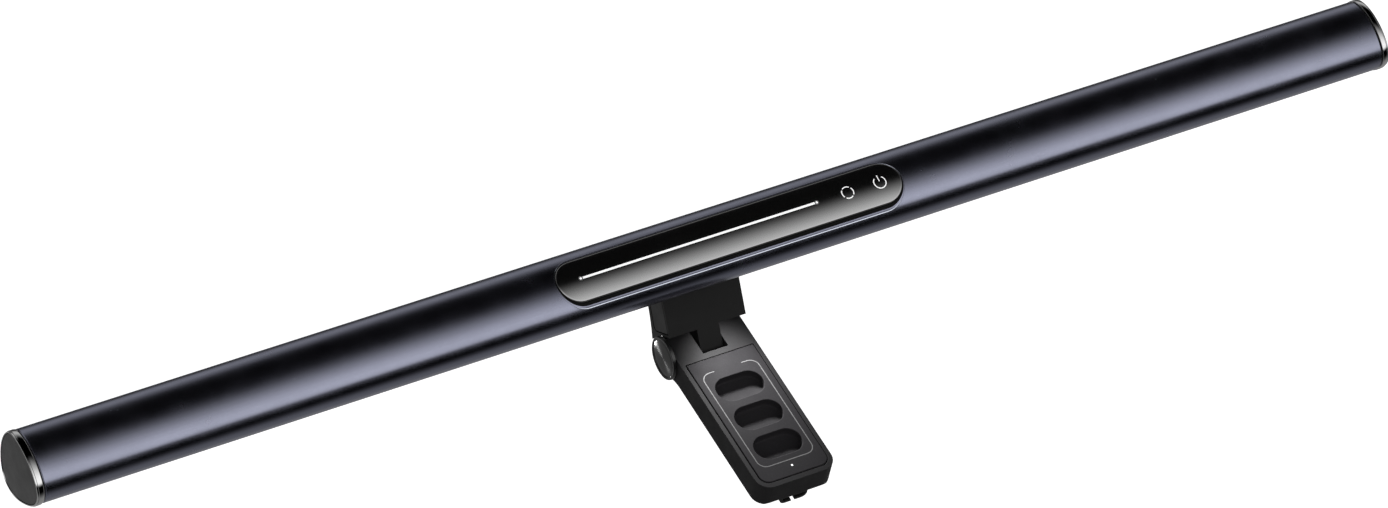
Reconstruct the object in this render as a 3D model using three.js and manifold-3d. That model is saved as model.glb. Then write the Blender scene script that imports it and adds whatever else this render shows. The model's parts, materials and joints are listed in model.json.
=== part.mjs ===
// Monitor light bar: an aluminium lamp bar on a bracket that hooks over the top
// edge of a monitor, with a friction-hinged leg that presses on the monitor's back.
//
// Millimetres, +Z up.  The origin is the middle of the seat, the face that rests on
// the monitor's top edge.  +X runs along the bar, -Y points to the person at the desk.
import * as THREE from 'three';
import { mergeVertices } from 'three/addons/utils/BufferGeometryUtils.js';
import Module from 'manifold-3d';

const wasm = await Module();
wasm.setup();

// ---------------------------------------------------------------- driving sizes

const DEG = Math.PI / 180;
const GAP = 0.3;                     // clearance between a piece and the pocket it sits in

// lamp bar
const BAR_LENGTH = 450;              // over both end caps
const BAR_Y = -15.5;                 // centre of the bar's section
const BAR_Z = 9.5;
const BAR_HALF_WIDTH = 12.5;
const WIDEST_Z = -3;                 // height of the widest point, from the section's centre
const CROWN_HEIGHT = 13.7;           // from the widest point up to the top
const CROWN_POWER = 1.69;
const BELLY_DEPTH = 7.7;             // from the widest point down to the bottom
const BELLY_POWER = 2.4;
const BAR_WALL = 1.4;
const LENS_HALF_WIDTH = 7.6;         // half width of the diffuser slot in the underside
const LENS_PROUD = 0.05;             // the diffuser stands this much out of the slot

// end caps, from the outside inwards along X
const RING_LENGTH = 2.1;
const RING_PROUD = 0.2;              // the ring stands this much outside the bar's surface
const RING_LIP = 0.4;                // width of the ring's rim round the end plate
const PLATE_INSET = 0.15;
const PLATE_THICKNESS = 0.9;
const RING_FLOOR = 0.7;              // inner wall of the ring, under the screw heads
const GROOVE_LENGTH = 0.45;          // shadow groove between ring and extrusion
const PLUG_DEPTH = 7;
const END_SCREW_Z = [5.4, -4.2];     // end screws, from the section's centre

// touch panel on the upper front of the bar
const PANEL_LENGTH = 114;
const PANEL_CENTRE_X = -0.8;
const PANEL_WIDTH = 13.2;
const PANEL_ANGLE = 40.5 * DEG;      // its direction from the widest point, above the front
const PANEL_THICKNESS = 1.3;
const PANEL_PROUD = 0.35;
const SLIDER_LENGTH = 78.3;
const SLIDER_CENTRE_X = -11.2;

// bracket
const BRACKET_HALF = 12.9;           // half width along X
const NECK_FRONT_Y = 4.1;
const NECK_REAR_Y = 14.7;
const NECK_HEEL_Y = 16.1;            // the rear of the neck flares out over the hinge
const NECK_HEEL_Z = -22.3;
const NECK_BOTTOM_Z = -20.1;
const BRACKET_TOP_Z = 10.4;
const SEAT_PAD = 1;                  // thickness of the silicone pads on seat and lip
const LIP_FRONT_Y = -6.4;
const LIP_REAR_Y = -4.4;
const LIP_BOTTOM_Z = -4.6;
const SIDE_COVER = 1.2;              // thickness of the inset side covers
const SIDE_COVER_Y = [4.9, 13.1];    // front and rear edges of a side cover
const SIDE_COVER_Z = [-19.1, 7];     // bottom and top edges
const SIDE_COVER_CHAMFER = 0.8;      // cut-off corner at its lower rear
const SIDE_COVER_SHOULDER = [2, 3];  // Y and Z size of its cut-off upper rear corner

// hinge
const HINGE_Y = 9.2;
const HINGE_Z = -26.9;
const SADDLE_RADIUS = 6.8;           // hollow under the neck, round the hinge
const TONGUE_HALF = 3.7;
const TONGUE_RADIUS = 5.1;
const BARREL_RADIUS = 6.3;
const SHAFT_RADIUS = 2;
const SHAFT_BORE = SHAFT_RADIUS + GAP;
const COUNTERBORE_RADIUS = 4.4;
const CAP_RADIUS = 6.7;
const CAP_RIM = 0.3;                 // chamfer round the disc
const CAP_OUTER_X = 14;

// leg, in its own frame: hinge at the origin, hanging along -Z, front face at -Y
const LEG_TILT = 51.2 * DEG;         // forward swing of the leg from straight down
const LEG_LENGTH = 57.4;             // from the hinge axis to the end
const LEG_HALF = 12.9;
const LEG_FRONT = 4.7;               // front face, in front of the hinge axis
const LEG_BACK = 3.3;                // back face, behind it
const LEG_CORNER = 4.6;
const NOTCH_HALF = 4.2;              // slot between the leg's two barrels
const NOTCH_DEPTH = 5.8;
const PAD_TOP = 8.15;
const PAD_BOTTOM = 55.5;
const PAD_HALF = 11.25;
const PAD_CORNER = 3;
const PAD_PROUD = 0.15;              // the pad stands this much out of the leg's face
const PAD_POCKET = 3.2;              // depth of the pocket that holds the pad
const RECESS_FIRST = 20.6;           // centre of the first finger recess, from the hinge
const RECESS_PITCH = 11.6;
const RECESS_HALF_LENGTH = 7.65;
const RECESS_RADIUS = 4.3;
const RECESS_DEPTH = 2.5;

// ---------------------------------------------------------------- finishes

const finish = (color, roughness, metalness = 0) =>
  new THREE.MeshStandardMaterial({ color, roughness, metalness });

const ANODISED = finish(0x2e323c, 0.38, 0.9);
const GLOSS_BLACK = finish(0x08080a, 0.12);
const MATTE_DARK = finish(0x1f1f21, 0.55);
const LEG_GREY = finish(0x2b2a2d, 0.5);
const SILICONE = finish(0x3a383c, 0.7);
const DIFFUSER = finish(0xf2f2ee, 0.4);
const WHITE = finish(0xf4f4f4, 0.4);
const STEEL = finish(0x9a9da2, 0.35, 1);
const BOARD = finish(0x14402a, 0.6);
const BLACK_CAP = finish(0x0c0c0d, 0.2, 0.6);

// ---------------------------------------------------------------- solids

function toSolid(geometry) {
  const bare = geometry.index ? geometry.toNonIndexed() : geometry.clone();
  bare.deleteAttribute('normal');
  bare.deleteAttribute('uv');
  const merged = mergeVertices(bare, 1e-4);
  return new wasm.Manifold(new wasm.Mesh({
    numProp: 3,
    vertProperties: merged.attributes.position.array,
    triVerts: Uint32Array.from(merged.index.array),
  }));
}

function toGeometry(solid) {
  const mesh = solid.getMesh();
  const geometry = new THREE.BufferGeometry();
  geometry.setAttribute('position', new THREE.BufferAttribute(mesh.vertProperties, 3));
  geometry.setIndex(new THREE.BufferAttribute(mesh.triVerts, 1));
  return geometry;
}

const cut = (base, ...tools) =>
  toGeometry(tools.reduce((solid, tool) => solid.subtract(toSolid(tool)), toSolid(base)));
const join = (base, ...others) =>
  toGeometry(others.reduce((solid, other) => solid.add(toSolid(other)), toSolid(base)));
const common = (a, b) => toGeometry(toSolid(a).intersect(toSolid(b)));

function box([x0, x1], [y0, y1], [z0, z1]) {
  const geometry = new THREE.BoxGeometry(x1 - x0, y1 - y0, z1 - z0);
  return geometry.translate((x0 + x1) / 2, (y0 + y1) / 2, (z0 + z1) / 2);
}

// A cylinder along X, Y or Z from one coordinate to another.
function rod(axis, radius, from, to, [a, b] = [0, 0], sides = 20) {
  const geometry = new THREE.CylinderGeometry(radius, radius, to - from, sides);
  const middle = (from + to) / 2;
  if (axis === 'x') return geometry.rotateZ(-Math.PI / 2).translate(middle, a, b);
  if (axis === 'y') return geometry.translate(a, middle, b);
  return geometry.rotateX(Math.PI / 2).translate(a, b, middle);
}

// An outline drawn in (Y, Z), pulled along X.
const ALONG_X = new THREE.Matrix4().makeBasis(
  new THREE.Vector3(0, 1, 0), new THREE.Vector3(0, 0, 1), new THREE.Vector3(1, 0, 0));

function alongX(outline, x0, x1) {
  const shape = outline instanceof THREE.Shape ? outline : new THREE.Shape(outline);
  const options = { depth: x1 - x0, bevelEnabled: false, curveSegments: 5 };
  return new THREE.ExtrudeGeometry(shape, options).applyMatrix4(ALONG_X).translate(x0, 0, 0);
}

// An outline drawn in (X, Z), pulled along Y.
function alongY(shape, y0, y1) {
  const options = { depth: y1 - y0, bevelEnabled: false, curveSegments: 4 };
  return new THREE.ExtrudeGeometry(shape, options).rotateX(Math.PI / 2).translate(0, y1, 0);
}

// A rectangle with its own radius at the bottom and top corners.
function roundedRectangle(x0, x1, z0, z1, bottomRadius, topRadius = bottomRadius) {
  const shape = new THREE.Shape();
  const quarter = Math.PI / 2;
  shape.moveTo(x0 + bottomRadius, z0);
  shape.absarc(x1 - bottomRadius, z0 + bottomRadius, bottomRadius, -quarter, 0);
  shape.absarc(x1 - topRadius, z1 - topRadius, topRadius, 0, quarter);
  shape.absarc(x0 + topRadius, z1 - topRadius, topRadius, quarter, 2 * quarter);
  shape.absarc(x0 + bottomRadius, z0 + bottomRadius, bottomRadius, 2 * quarter, 3 * quarter);
  return shape;
}

// ---------------------------------------------------------------- the assembly

const bar = new THREE.Group();
const hinge = new THREE.Group();
hinge.position.set(0, HINGE_Y, HINGE_Z);
const leg = new THREE.Group();
leg.position.copy(hinge.position);
leg.rotation.x = -LEG_TILT;
const object = new THREE.Group();
object.add(bar, hinge, leg);

function add(group, name, geometry, material) {
  geometry.computeVertexNormals();
  const mesh = new THREE.Mesh(geometry, material);
  mesh.name = name;
  group.add(mesh);
  return mesh;
}

const SIDES = [['left', -1], ['right', 1]];

// Puts a geometry made for the right-hand side (+X) on the left-hand side.
function mirrorX(geometry) {
  const bare = geometry.index ? geometry.toNonIndexed() : geometry.clone();
  const flipped = bare.scale(-1, 1, 1).attributes.position.array;
  for (let i = 0; i < flipped.length; i += 9) {
    const second = flipped.slice(i + 3, i + 6);
    flipped.copyWithin(i + 3, i + 6, i + 9);
    flipped.set(second, i + 6);
  }
  const mirrored = new THREE.BufferGeometry();
  mirrored.setAttribute('position', new THREE.BufferAttribute(flipped, 3));
  return mirrored;
}
const forSide = (geometry, side) => (side > 0 ? geometry : mirrorX(geometry));

// ---------------------------------------------------------------- bar section

// Points of the bar's outline, moved outwards by `offset`, between two angles that are
// counted from the rear (+Y) over the top.  The section is a rounded egg: two half
// superellipses that share their widest line.
function barArc(offset, from, to, steps) {
  const points = [];
  for (let i = 0; i <= steps; i += 1) {
    const angle = from + ((to - from) * i) / steps;
    const [c, s] = [Math.cos(angle), Math.sin(angle)];
    const height = (s >= 0 ? CROWN_HEIGHT : BELLY_DEPTH) + offset;
    const power = s >= 0 ? CROWN_POWER : BELLY_POWER;
    const width = BAR_HALF_WIDTH + offset;
    const reach = (Math.abs(c / width) ** power + Math.abs(s / height) ** power) ** (-1 / power);
    points.push(new THREE.Vector2(BAR_Y + reach * c, BAR_Z + WIDEST_Z + reach * s));
  }
  return points;
}

const barOutline = (offset, steps = 44) => barArc(offset, 0, 2 * Math.PI, steps).slice(0, -1);

// Direction angle at which the outline crosses the edge of the diffuser slot.
function slotAngle(halfWidth, offset) {
  let [low, high] = [1.5 * Math.PI, 2 * Math.PI];
  for (let i = 0; i < 30; i += 1) {
    const middle = (low + high) / 2;
    const [point] = barArc(offset, middle, middle, 1);
    if (point.x - BAR_Y < halfWidth) low = middle;
    else high = middle;
  }
  return low;
}

// ---------------------------------------------------------------- touch panel solids

// A stadium prism that points along the panel's direction.
function panelPrism(length, width, near, far) {
  const half = length / 2 - width / 2;
  const shape = new THREE.Shape();
  shape.moveTo(-half, -width / 2);
  shape.absarc(half, 0, width / 2, -Math.PI / 2, Math.PI / 2);
  shape.absarc(-half, 0, width / 2, Math.PI / 2, 1.5 * Math.PI);
  const options = { depth: far - near, bevelEnabled: false, curveSegments: 8 };
  return new THREE.ExtrudeGeometry(shape, options)
    .translate(0, 0, near)
    .rotateX(Math.PI / 2 - PANEL_ANGLE)
    .translate(PANEL_CENTRE_X, BAR_Y, BAR_Z + WIDEST_Z);
}

// The layer of the bar's skin between two offsets, along the length of the panel.
function skinLayer(inner, outer) {
  const [from, to] = [92 * DEG, 195 * DEG];
  const outside = barArc(outer, from, to, 14);
  const inside = barArc(inner, from, to, 14).reverse();
  return alongX([...outside, ...inside], -PANEL_LENGTH / 2 - 2, PANEL_LENGTH / 2 + 2);
}

const panelSeat = common(
  panelPrism(PANEL_LENGTH + 2 * GAP, PANEL_WIDTH + 2 * GAP, 4, 20),
  skinLayer(PANEL_PROUD - PANEL_THICKNESS - 0.2, 1));
const panelWindow = panelPrism(PANEL_LENGTH - 8, PANEL_WIDTH - 4.4, 4, 20);

// ---------------------------------------------------------------- lamp bar

const bodyEnd = BAR_LENGTH / 2 - RING_LENGTH - GROOVE_LENGTH;

// USB inlet in the rear of the bar
const USB_X = 34;
const USB_Z = BAR_Z - 0.9;
const USB_REAR_Y = BAR_Y + BAR_HALF_WIDTH - 0.4;
const MOUNT_SCREW_X = 8.5;
const MOUNT_SCREW_Z = BAR_Z - 0.6;
const MOUNT_SCREW_HOLE = 1.65;

const usbOutline = (width, height) =>
  roundedRectangle(-width / 2, width / 2, -height / 2, height / 2, height / 2 - 0.01);

function barExtrusion() {
  const start = slotAngle(LENS_HALF_WIDTH, 0);
  const outside = barArc(0, start - 2 * Math.PI, 3 * Math.PI - start, 42);
  const innerStart = slotAngle(LENS_HALF_WIDTH, -BAR_WALL);
  const inside = barArc(-BAR_WALL, innerStart - 2 * Math.PI, 3 * Math.PI - innerStart, 42)
    .reverse();
  const skin = alongX([...outside, ...inside], -bodyEnd, bodyEnd);
  const usbHole = alongY(usbOutline(13.4, 7), USB_REAR_Y - 4, USB_REAR_Y + 2)
    .translate(USB_X, 0, USB_Z);
  const screwHoles = [-1, 1].map((side) =>
    rod('y', MOUNT_SCREW_HOLE, USB_REAR_Y - 4, USB_REAR_Y + 2,
      [side * MOUNT_SCREW_X, MOUNT_SCREW_Z], 12));
  return cut(skin, panelSeat, panelWindow, usbHole, ...screwHoles);
}
add(bar, 'bar_extrusion', barExtrusion(), ANODISED);

// White diffuser that closes the slot in the underside.
function diffuserLens() {
  const edge = LENS_HALF_WIDTH - GAP;
  const start = slotAngle(edge, 0);
  const under = barArc(LENS_PROUD, 3 * Math.PI - start, start, 14);
  const ledge = BAR_Z + WIDEST_Z - BELLY_DEPTH + BAR_WALL + 0.5;
  const profile = [
    new THREE.Vector2(BAR_Y - edge, ledge),
    ...under,
    new THREE.Vector2(BAR_Y + edge, ledge),
    new THREE.Vector2(BAR_Y + edge - 1.4, ledge),
    new THREE.Vector2(BAR_Y + edge - 1.4, ledge - 0.9),
    new THREE.Vector2(BAR_Y - edge + 1.4, ledge - 0.9),
    new THREE.Vector2(BAR_Y - edge + 1.4, ledge),
  ];
  return alongX(profile, -bodyEnd + 0.1, bodyEnd - 0.1);
}
add(bar, 'diffuser_lens', diffuserLens(), DIFFUSER);

// LED strip above the diffuser: one board with a row of emitters under it.
const LED_BOARD_Z = BAR_Z + WIDEST_Z - 2.2;
const LED_PITCH = 18;

function ledBoard() {
  const half = bodyEnd - 10;
  const boardTop = LED_BOARD_Z + 1;
  const board = box([-half, half], [BAR_Y - 5, BAR_Y + 5], [LED_BOARD_Z, boardTop]);
  const emitters = [];
  for (let x = -half + 6; x < half - 5; x += LED_PITCH) {
    emitters.push(box(
      [x, x + 2.8], [BAR_Y - 1.4, BAR_Y + 1.4], [LED_BOARD_Z - 0.7, LED_BOARD_Z + 0.2]));
  }
  return join(board, ...emitters);
}
add(bar, 'led_board', ledBoard(), BOARD);

// Bent white reflector that throws the light forwards, away from the screen.
function reflector() {
  const bottom = BAR_Z + WIDEST_Z - BELLY_DEPTH + BAR_WALL + 0.9;
  const top = LED_BOARD_Z - 1;
  const profile = [
    new THREE.Vector2(BAR_Y + 6.9, bottom),
    new THREE.Vector2(BAR_Y + 7.6, bottom),
    new THREE.Vector2(BAR_Y + 3.1, top),
    new THREE.Vector2(BAR_Y + 2.4, top),
  ];
  return alongX(profile, -bodyEnd + 10, bodyEnd - 10);
}
add(bar, 'reflector', reflector(), WHITE);

// Extruded carrier that holds the LED strip across the inside of the bar.
function ledCarrier() {
  const z = LED_BOARD_Z + 1 + 0.2;
  const wide = BAR_HALF_WIDTH - BAR_WALL - 0.6;
  const profile = [
    [-wide, z - 1.2], [-wide + 1.2, z - 1.2], [-wide + 1.2, z], [wide - 1.2, z],
    [wide - 1.2, z - 1.2], [wide, z - 1.2], [wide, z + 1.1], [-wide, z + 1.1],
  ].map(([y, height]) => new THREE.Vector2(BAR_Y + y, height));
  return alongX(profile, -bodyEnd + 10, bodyEnd - 10);
}
add(bar, 'led_carrier', ledCarrier(), STEEL);

// ---------------------------------------------------------------- touch panel

const touchPanel = common(
  panelPrism(PANEL_LENGTH, PANEL_WIDTH, 4, 20),
  skinLayer(PANEL_PROUD - PANEL_THICKNESS, PANEL_PROUD));
add(bar, 'touch_panel', touchPanel, GLOSS_BLACK);

// Pieces behind the panel are laid out in a flat frame and turned to face it.
function behindPanel(geometry) {
  return geometry
    .rotateX(Math.PI / 2 - PANEL_ANGLE)
    .translate(0, BAR_Y, BAR_Z + WIDEST_Z);
}

// Distance of the bar's surface from the widest point, in the panel's direction.
const PANEL_REACH = new THREE.Vector2(BAR_Y, BAR_Z + WIDEST_Z)
  .distanceTo(barArc(0, Math.PI - PANEL_ANGLE, Math.PI - PANEL_ANGLE, 1)[0]);
const guideTop = PANEL_REACH + PANEL_PROUD - PANEL_THICKNESS - GAP;

add(bar, 'slider_light_guide', behindPanel(box(
  [SLIDER_CENTRE_X - SLIDER_LENGTH / 2, SLIDER_CENTRE_X + SLIDER_LENGTH / 2],
  [-0.6, 0.6], [guideTop - 1.6, guideTop])), WHITE);

const boardTop = guideTop - 1.6 - 0.2;
const touchChips = [
  [[-44, -37], [-2.5, 2.5]], [[-8, -3], [-2.5, 2.5]], [[30, 35], [-2, 2]], [[39, 42], [-1.5, 1.5]],
].map(([x, y]) => behindPanel(box(x, y, [boardTop - 2, boardTop - 0.9])));
add(bar, 'touch_board', join(
  behindPanel(box([-50, 50], [-3.9, 3.9], [boardTop - 1, boardTop])), ...touchChips), BOARD);

// ---------------------------------------------------------------- power inlet

// Driver board that lies on the LED carrier behind the inlet.
const driverZ = LED_BOARD_Z + 2.9;
const driverParts = [
  [[20, 27], [BAR_Y - 4, BAR_Y + 2], 2.4], [[4, 8], [BAR_Y - 3, BAR_Y + 1], 1.2],
  [[46, 50], [BAR_Y - 3, BAR_Y + 1], 1.6],
].map(([x, y, height]) => box(x, y, [driverZ + 0.7, driverZ + 1 + height]));
add(bar, 'driver_board', join(
  box([0, 54], [BAR_Y - 5, BAR_Y + 2.4], [driverZ, driverZ + 1]), ...driverParts), BOARD);

function usbSocket() {
  const shell = alongY(usbOutline(9, 3.3), USB_REAR_Y - 7.6, USB_REAR_Y - 0.4);
  const mouth = alongY(usbOutline(8.4, 2.7), USB_REAR_Y - 6.6, USB_REAR_Y + 1);
  const tongue = box([-3.3, 3.3], [USB_REAR_Y - 7, USB_REAR_Y - 1.6], [-0.35, 0.35]);
  return join(cut(shell, mouth), tongue).translate(USB_X, 0, USB_Z);
}
add(bar, 'usb_c_socket', usbSocket(), STEEL);

function usbBezel() {
  const body = alongY(usbOutline(12.8, 6.4), USB_REAR_Y - 1.3, USB_REAR_Y - 0.1);
  const opening = alongY(usbOutline(9.6, 3.9), USB_REAR_Y - 3, USB_REAR_Y + 1);
  return cut(body, opening).translate(USB_X, 0, USB_Z);
}
add(bar, 'usb_bezel', usbBezel(), MATTE_DARK);

// ---------------------------------------------------------------- end caps

const endScrewPlaces = END_SCREW_Z.map((z) => [BAR_Y, BAR_Z + z]);
const plateOuter = BAR_LENGTH / 2 - PLATE_INSET;
const plateInner = plateOuter - PLATE_THICKNESS;
const ringInner = BAR_LENGTH / 2 - RING_LENGTH;

function endPlug() {
  const flange = alongX(barOutline(-0.7), bodyEnd + 0.1, ringInner - 0.1);
  const spigot = alongX(barOutline(-BAR_WALL - GAP), bodyEnd - PLUG_DEPTH, bodyEnd + 0.2);
  const hollow = alongX(barOutline(-BAR_WALL - 1.9, 20), bodyEnd - PLUG_DEPTH - 1, bodyEnd - 1.6);
  const lensRelief = box([bodyEnd - PLUG_DEPTH - 1, bodyEnd + 0.1],
    [BAR_Y - 9, BAR_Y + 9], [BAR_Z - 14, BAR_Z + WIDEST_Z - BELLY_DEPTH + BAR_WALL + 0.9]);
  const pilots = endScrewPlaces.map((place) => rod('x', 1, bodyEnd - 8, bodyEnd + 4, place, 8));
  return cut(join(flange, spigot), hollow, lensRelief, ...pilots);
}

function endRing() {
  const end = BAR_LENGTH / 2;
  const chamfer = 0.35;
  const band = alongX(barOutline(RING_PROUD), ringInner, end - chamfer);
  const rim = alongX(barOutline(RING_PROUD - chamfer), ringInner, end);
  const opening = alongX(barOutline(-RING_LIP), ringInner + RING_FLOOR, end + 1);
  const passages = endScrewPlaces.map((place) => rod('x', 1, ringInner - 1, end, place, 8));
  return cut(join(band, rim), opening, ...passages);
}

function endPlate() {
  const plate = alongX(barOutline(-RING_LIP - 0.15), plateInner, plateOuter);
  const pockets = endScrewPlaces.map((place) =>
    rod('x', 1.65, plateInner - 1, plateInner + 0.55, place, 10));
  return cut(plate, ...pockets);
}

for (const [label, side] of SIDES) {
  add(bar, `end_plug_${label}`, forSide(endPlug(), side), MATTE_DARK);
  add(bar, `end_ring_${label}`, forSide(endRing(), side), GLOSS_BLACK);
  add(bar, `end_plate_${label}`, forSide(endPlate(), side), MATTE_DARK);
}

// A screw as one turned body: shank, head and driver recess.  It points along -Z.
function screw(headRadius, headHeight, shankRadius, length, sides = 8) {
  const recess = headRadius * 0.45;
  const profile = [
    [0, -length], [shankRadius * 0.7, -length], [shankRadius, -length + 0.6], [shankRadius, 0],
    [headRadius, 0], [headRadius, headHeight], [recess, headHeight], [0, headHeight * 0.4],
  ].map(([r, z]) => new THREE.Vector2(r, z));
  return new THREE.LatheGeometry(profile, sides).rotateX(Math.PI / 2);
}

let screwNumber = 0;
for (const [, side] of SIDES) {
  for (const [y, z] of endScrewPlaces) {
    screwNumber += 1;
    const geometry = screw(1.35, 0.55, 0.7, 5).rotateY(Math.PI / 2)
      .translate(ringInner + RING_FLOOR + 0.05, y, z);
    add(bar, `end_screw_${screwNumber}`, forSide(geometry, side), STEEL);
  }
}

// ---------------------------------------------------------------- bracket

const point = (y, z) => new THREE.Vector2(y, z);

// Side view of the bracket: lip, seat, and the neck that runs down behind the monitor.
function bracketOutline() {
  const top = BRACKET_TOP_Z;
  const shape = new THREE.Shape();
  shape.moveTo(LIP_FRONT_Y, LIP_BOTTOM_Z);
  shape.lineTo(LIP_REAR_Y, LIP_BOTTOM_Z);
  shape.lineTo(LIP_REAR_Y, SEAT_PAD);
  shape.lineTo(NECK_FRONT_Y, SEAT_PAD);
  shape.lineTo(NECK_FRONT_Y, NECK_BOTTOM_Z);
  shape.lineTo(HINGE_Y, NECK_BOTTOM_Z);
  shape.lineTo(NECK_HEEL_Y, NECK_HEEL_Z);
  shape.quadraticCurveTo(NECK_REAR_Y + 0.1, -17, NECK_REAR_Y, -12);
  shape.lineTo(NECK_REAR_Y, top - 5);
  shape.absarc(NECK_REAR_Y - 5, top - 5, 5, 0, Math.PI / 2);
  shape.lineTo(LIP_FRONT_Y, top);
  return shape;
}

function tongue() {
  const shape = new THREE.Shape();
  shape.moveTo(HINGE_Y - TONGUE_RADIUS, NECK_BOTTOM_Z + 1);
  shape.lineTo(HINGE_Y - TONGUE_RADIUS, HINGE_Z);
  shape.absarc(HINGE_Y, HINGE_Z, TONGUE_RADIUS, Math.PI, 2 * Math.PI);
  shape.lineTo(HINGE_Y + TONGUE_RADIUS, NECK_BOTTOM_Z + 1);
  return alongX(shape, -TONGUE_HALF, TONGUE_HALF);
}

// Outline of the inset covers in the neck's two sides.
function sideCoverOutline(margin) {
  const [front, rear] = [SIDE_COVER_Y[0] - margin, SIDE_COVER_Y[1] + margin];
  const [bottom, top] = [SIDE_COVER_Z[0] - margin, SIDE_COVER_Z[1] + margin];
  const [shoulderY, shoulderZ] = SIDE_COVER_SHOULDER;
  return [
    point(front, bottom),
    point(rear - SIDE_COVER_CHAMFER - margin, bottom),
    point(rear, bottom + SIDE_COVER_CHAMFER + margin),
    point(rear, top - shoulderZ),
    point(rear - shoulderY, top),
    point(front, top),
  ];
}

// Cover in the rear of the neck, and the two screws that hold it.
const REAR_COVER = [9.5, -15, 3.4];   // half width, lowest and highest Z
const REAR_COVER_THICKNESS = 1.2;
const REAR_SCREW_Z = [-12, 0.4];

const rearPanel = (margin, y0, y1, radius) => alongY(roundedRectangle(
  -REAR_COVER[0] + margin, REAR_COVER[0] - margin,
  REAR_COVER[1] + margin, REAR_COVER[2] - margin, radius), y0, y1);

function bracket() {
  const block = alongX(bracketOutline(), -BRACKET_HALF, BRACKET_HALF);
  const barClearance = alongX(barOutline(GAP), -BRACKET_HALF - 1, BRACKET_HALF + 1);
  const saddle = rod('x', SADDLE_RADIUS, -BRACKET_HALF - 1, BRACKET_HALF + 1, [HINGE_Y, HINGE_Z], 32);
  const sidePockets = [-1, 1].map((side) => {
    const [a, b] = [side * (BRACKET_HALF - SIDE_COVER - GAP), side * (BRACKET_HALF + 1)];
    return alongX(sideCoverOutline(GAP), Math.min(a, b), Math.max(a, b));
  });
  const coverPocket = rearPanel(0, NECK_REAR_Y - REAR_COVER_THICKNESS - GAP, NECK_REAR_Y + 3, 1.5);
  const cavity = box([-7, 7], [NECK_FRONT_Y + 2.5, NECK_REAR_Y], [-9, -2.5]);
  const rearPilots = REAR_SCREW_Z.map((z) => rod('y', 1.1, 7, NECK_REAR_Y, [0, z], 8));
  const mountPilots = [-1, 1].map((side) =>
    rod('y', MOUNT_SCREW_HOLE, -6, 5.5, [side * MOUNT_SCREW_X, MOUNT_SCREW_Z], 12));
  const hingeBore = rod('x', SHAFT_BORE, -6, 6, [HINGE_Y, HINGE_Z]);
  const body = cut(block, barClearance, saddle, ...sidePockets, coverPocket, cavity,
    ...rearPilots, ...mountPilots);
  return cut(join(body, tongue()), hingeBore);
}
add(bar, 'bracket', bracket(), MATTE_DARK);

for (const [label, side] of SIDES) {
  const cover = alongX(sideCoverOutline(0), BRACKET_HALF - SIDE_COVER, BRACKET_HALF);
  add(bar, `neck_side_cover_${label}`, forSide(cover, side), MATTE_DARK);
}

const rearCoverY = NECK_REAR_Y - REAR_COVER_THICKNESS;
add(bar, 'neck_rear_cover', cut(
  rearPanel(GAP, rearCoverY, NECK_REAR_Y, 1.2),
  ...REAR_SCREW_Z.map((z) => rod('y', 1.1, rearCoverY - 1, NECK_REAR_Y + 1, [0, z], 8)),
  ...REAR_SCREW_Z.map((z) => rod('y', 1.9, NECK_REAR_Y - 0.7, NECK_REAR_Y + 1, [0, z], 12))),
MATTE_DARK);

REAR_SCREW_Z.forEach((z, i) => {
  const geometry = screw(1.6, 0.5, 0.8, 5).rotateX(-Math.PI / 2).translate(0, NECK_REAR_Y - 0.6, z);
  add(bar, `rear_cover_screw_${i + 1}`, geometry, STEEL);
});

// Plate inside the bar and the two screws that hold bar and bracket together.
const mountPlateY = BAR_Y + 8;
add(bar, 'mount_plate', cut(
  box([-12, 12], [mountPlateY, mountPlateY + 1.5], [MOUNT_SCREW_Z - 2.1, MOUNT_SCREW_Z + 2.2]),
  ...[-1, 1].map((side) => rod('y', MOUNT_SCREW_HOLE, mountPlateY - 1, mountPlateY + 3,
    [side * MOUNT_SCREW_X, MOUNT_SCREW_Z], 12))), STEEL);

[-1, 1].forEach((side, i) => {
  const geometry = screw(2.2, 1.6, 1.3, 12).rotateX(Math.PI / 2)
    .translate(side * MOUNT_SCREW_X, mountPlateY - 0.2, MOUNT_SCREW_Z);
  add(bar, `mount_screw_${i + 1}`, geometry, STEEL);
});

// Silicone pads that touch the monitor.
const PAD_HALF_LENGTH = BRACKET_HALF - 1.2;
add(bar, 'seat_pad', alongX([
  point(LIP_REAR_Y + 1.1, 0), point(NECK_FRONT_Y - 0.2, 0),
  point(NECK_FRONT_Y - 0.2, SEAT_PAD - 0.2), point(LIP_REAR_Y + 1.1, SEAT_PAD - 0.2),
], -PAD_HALF_LENGTH, PAD_HALF_LENGTH), SILICONE);
add(bar, 'lip_pad', box([-PAD_HALF_LENGTH, PAD_HALF_LENGTH],
  [LIP_REAR_Y + 0.1, LIP_REAR_Y + 0.8], [LIP_BOTTOM_Z + 0.3, -0.3]), SILICONE);

// ---------------------------------------------------------------- hinge

// A ring or disc on the hinge axis.
function washer(outer, inner, x0, x1, sides = 20) {
  return cut(rod('x', outer, x0, x1, [0, 0], sides), rod('x', inner, x0 - 1, x1 + 1, [0, 0], 16));
}
add(hinge, 'hinge_shaft', join(
  rod('x', SHAFT_RADIUS, -11, 11.4), rod('x', 3.6, -11.2, -9.6)), STEEL);
add(hinge, 'thrust_washer', washer(3.7, SHAFT_BORE, -9.3, -8.6), STEEL);
for (const [label, side] of SIDES) {
  const ring = washer(3.8, SHAFT_BORE, TONGUE_HALF + 0.2, TONGUE_HALF + 1);
  add(hinge, `friction_washer_${label}`, forSide(ring, side), STEEL);
}
const cone = [[SHAFT_BORE, 8.6], [3.7, 8.9], [3.7, 9.2], [SHAFT_BORE, 8.9]]
  .map(([r, x]) => point(r, x));
add(hinge, 'spring_washer',
  new THREE.LatheGeometry([...cone, cone[0]], 20).rotateZ(-Math.PI / 2), STEEL);
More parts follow.
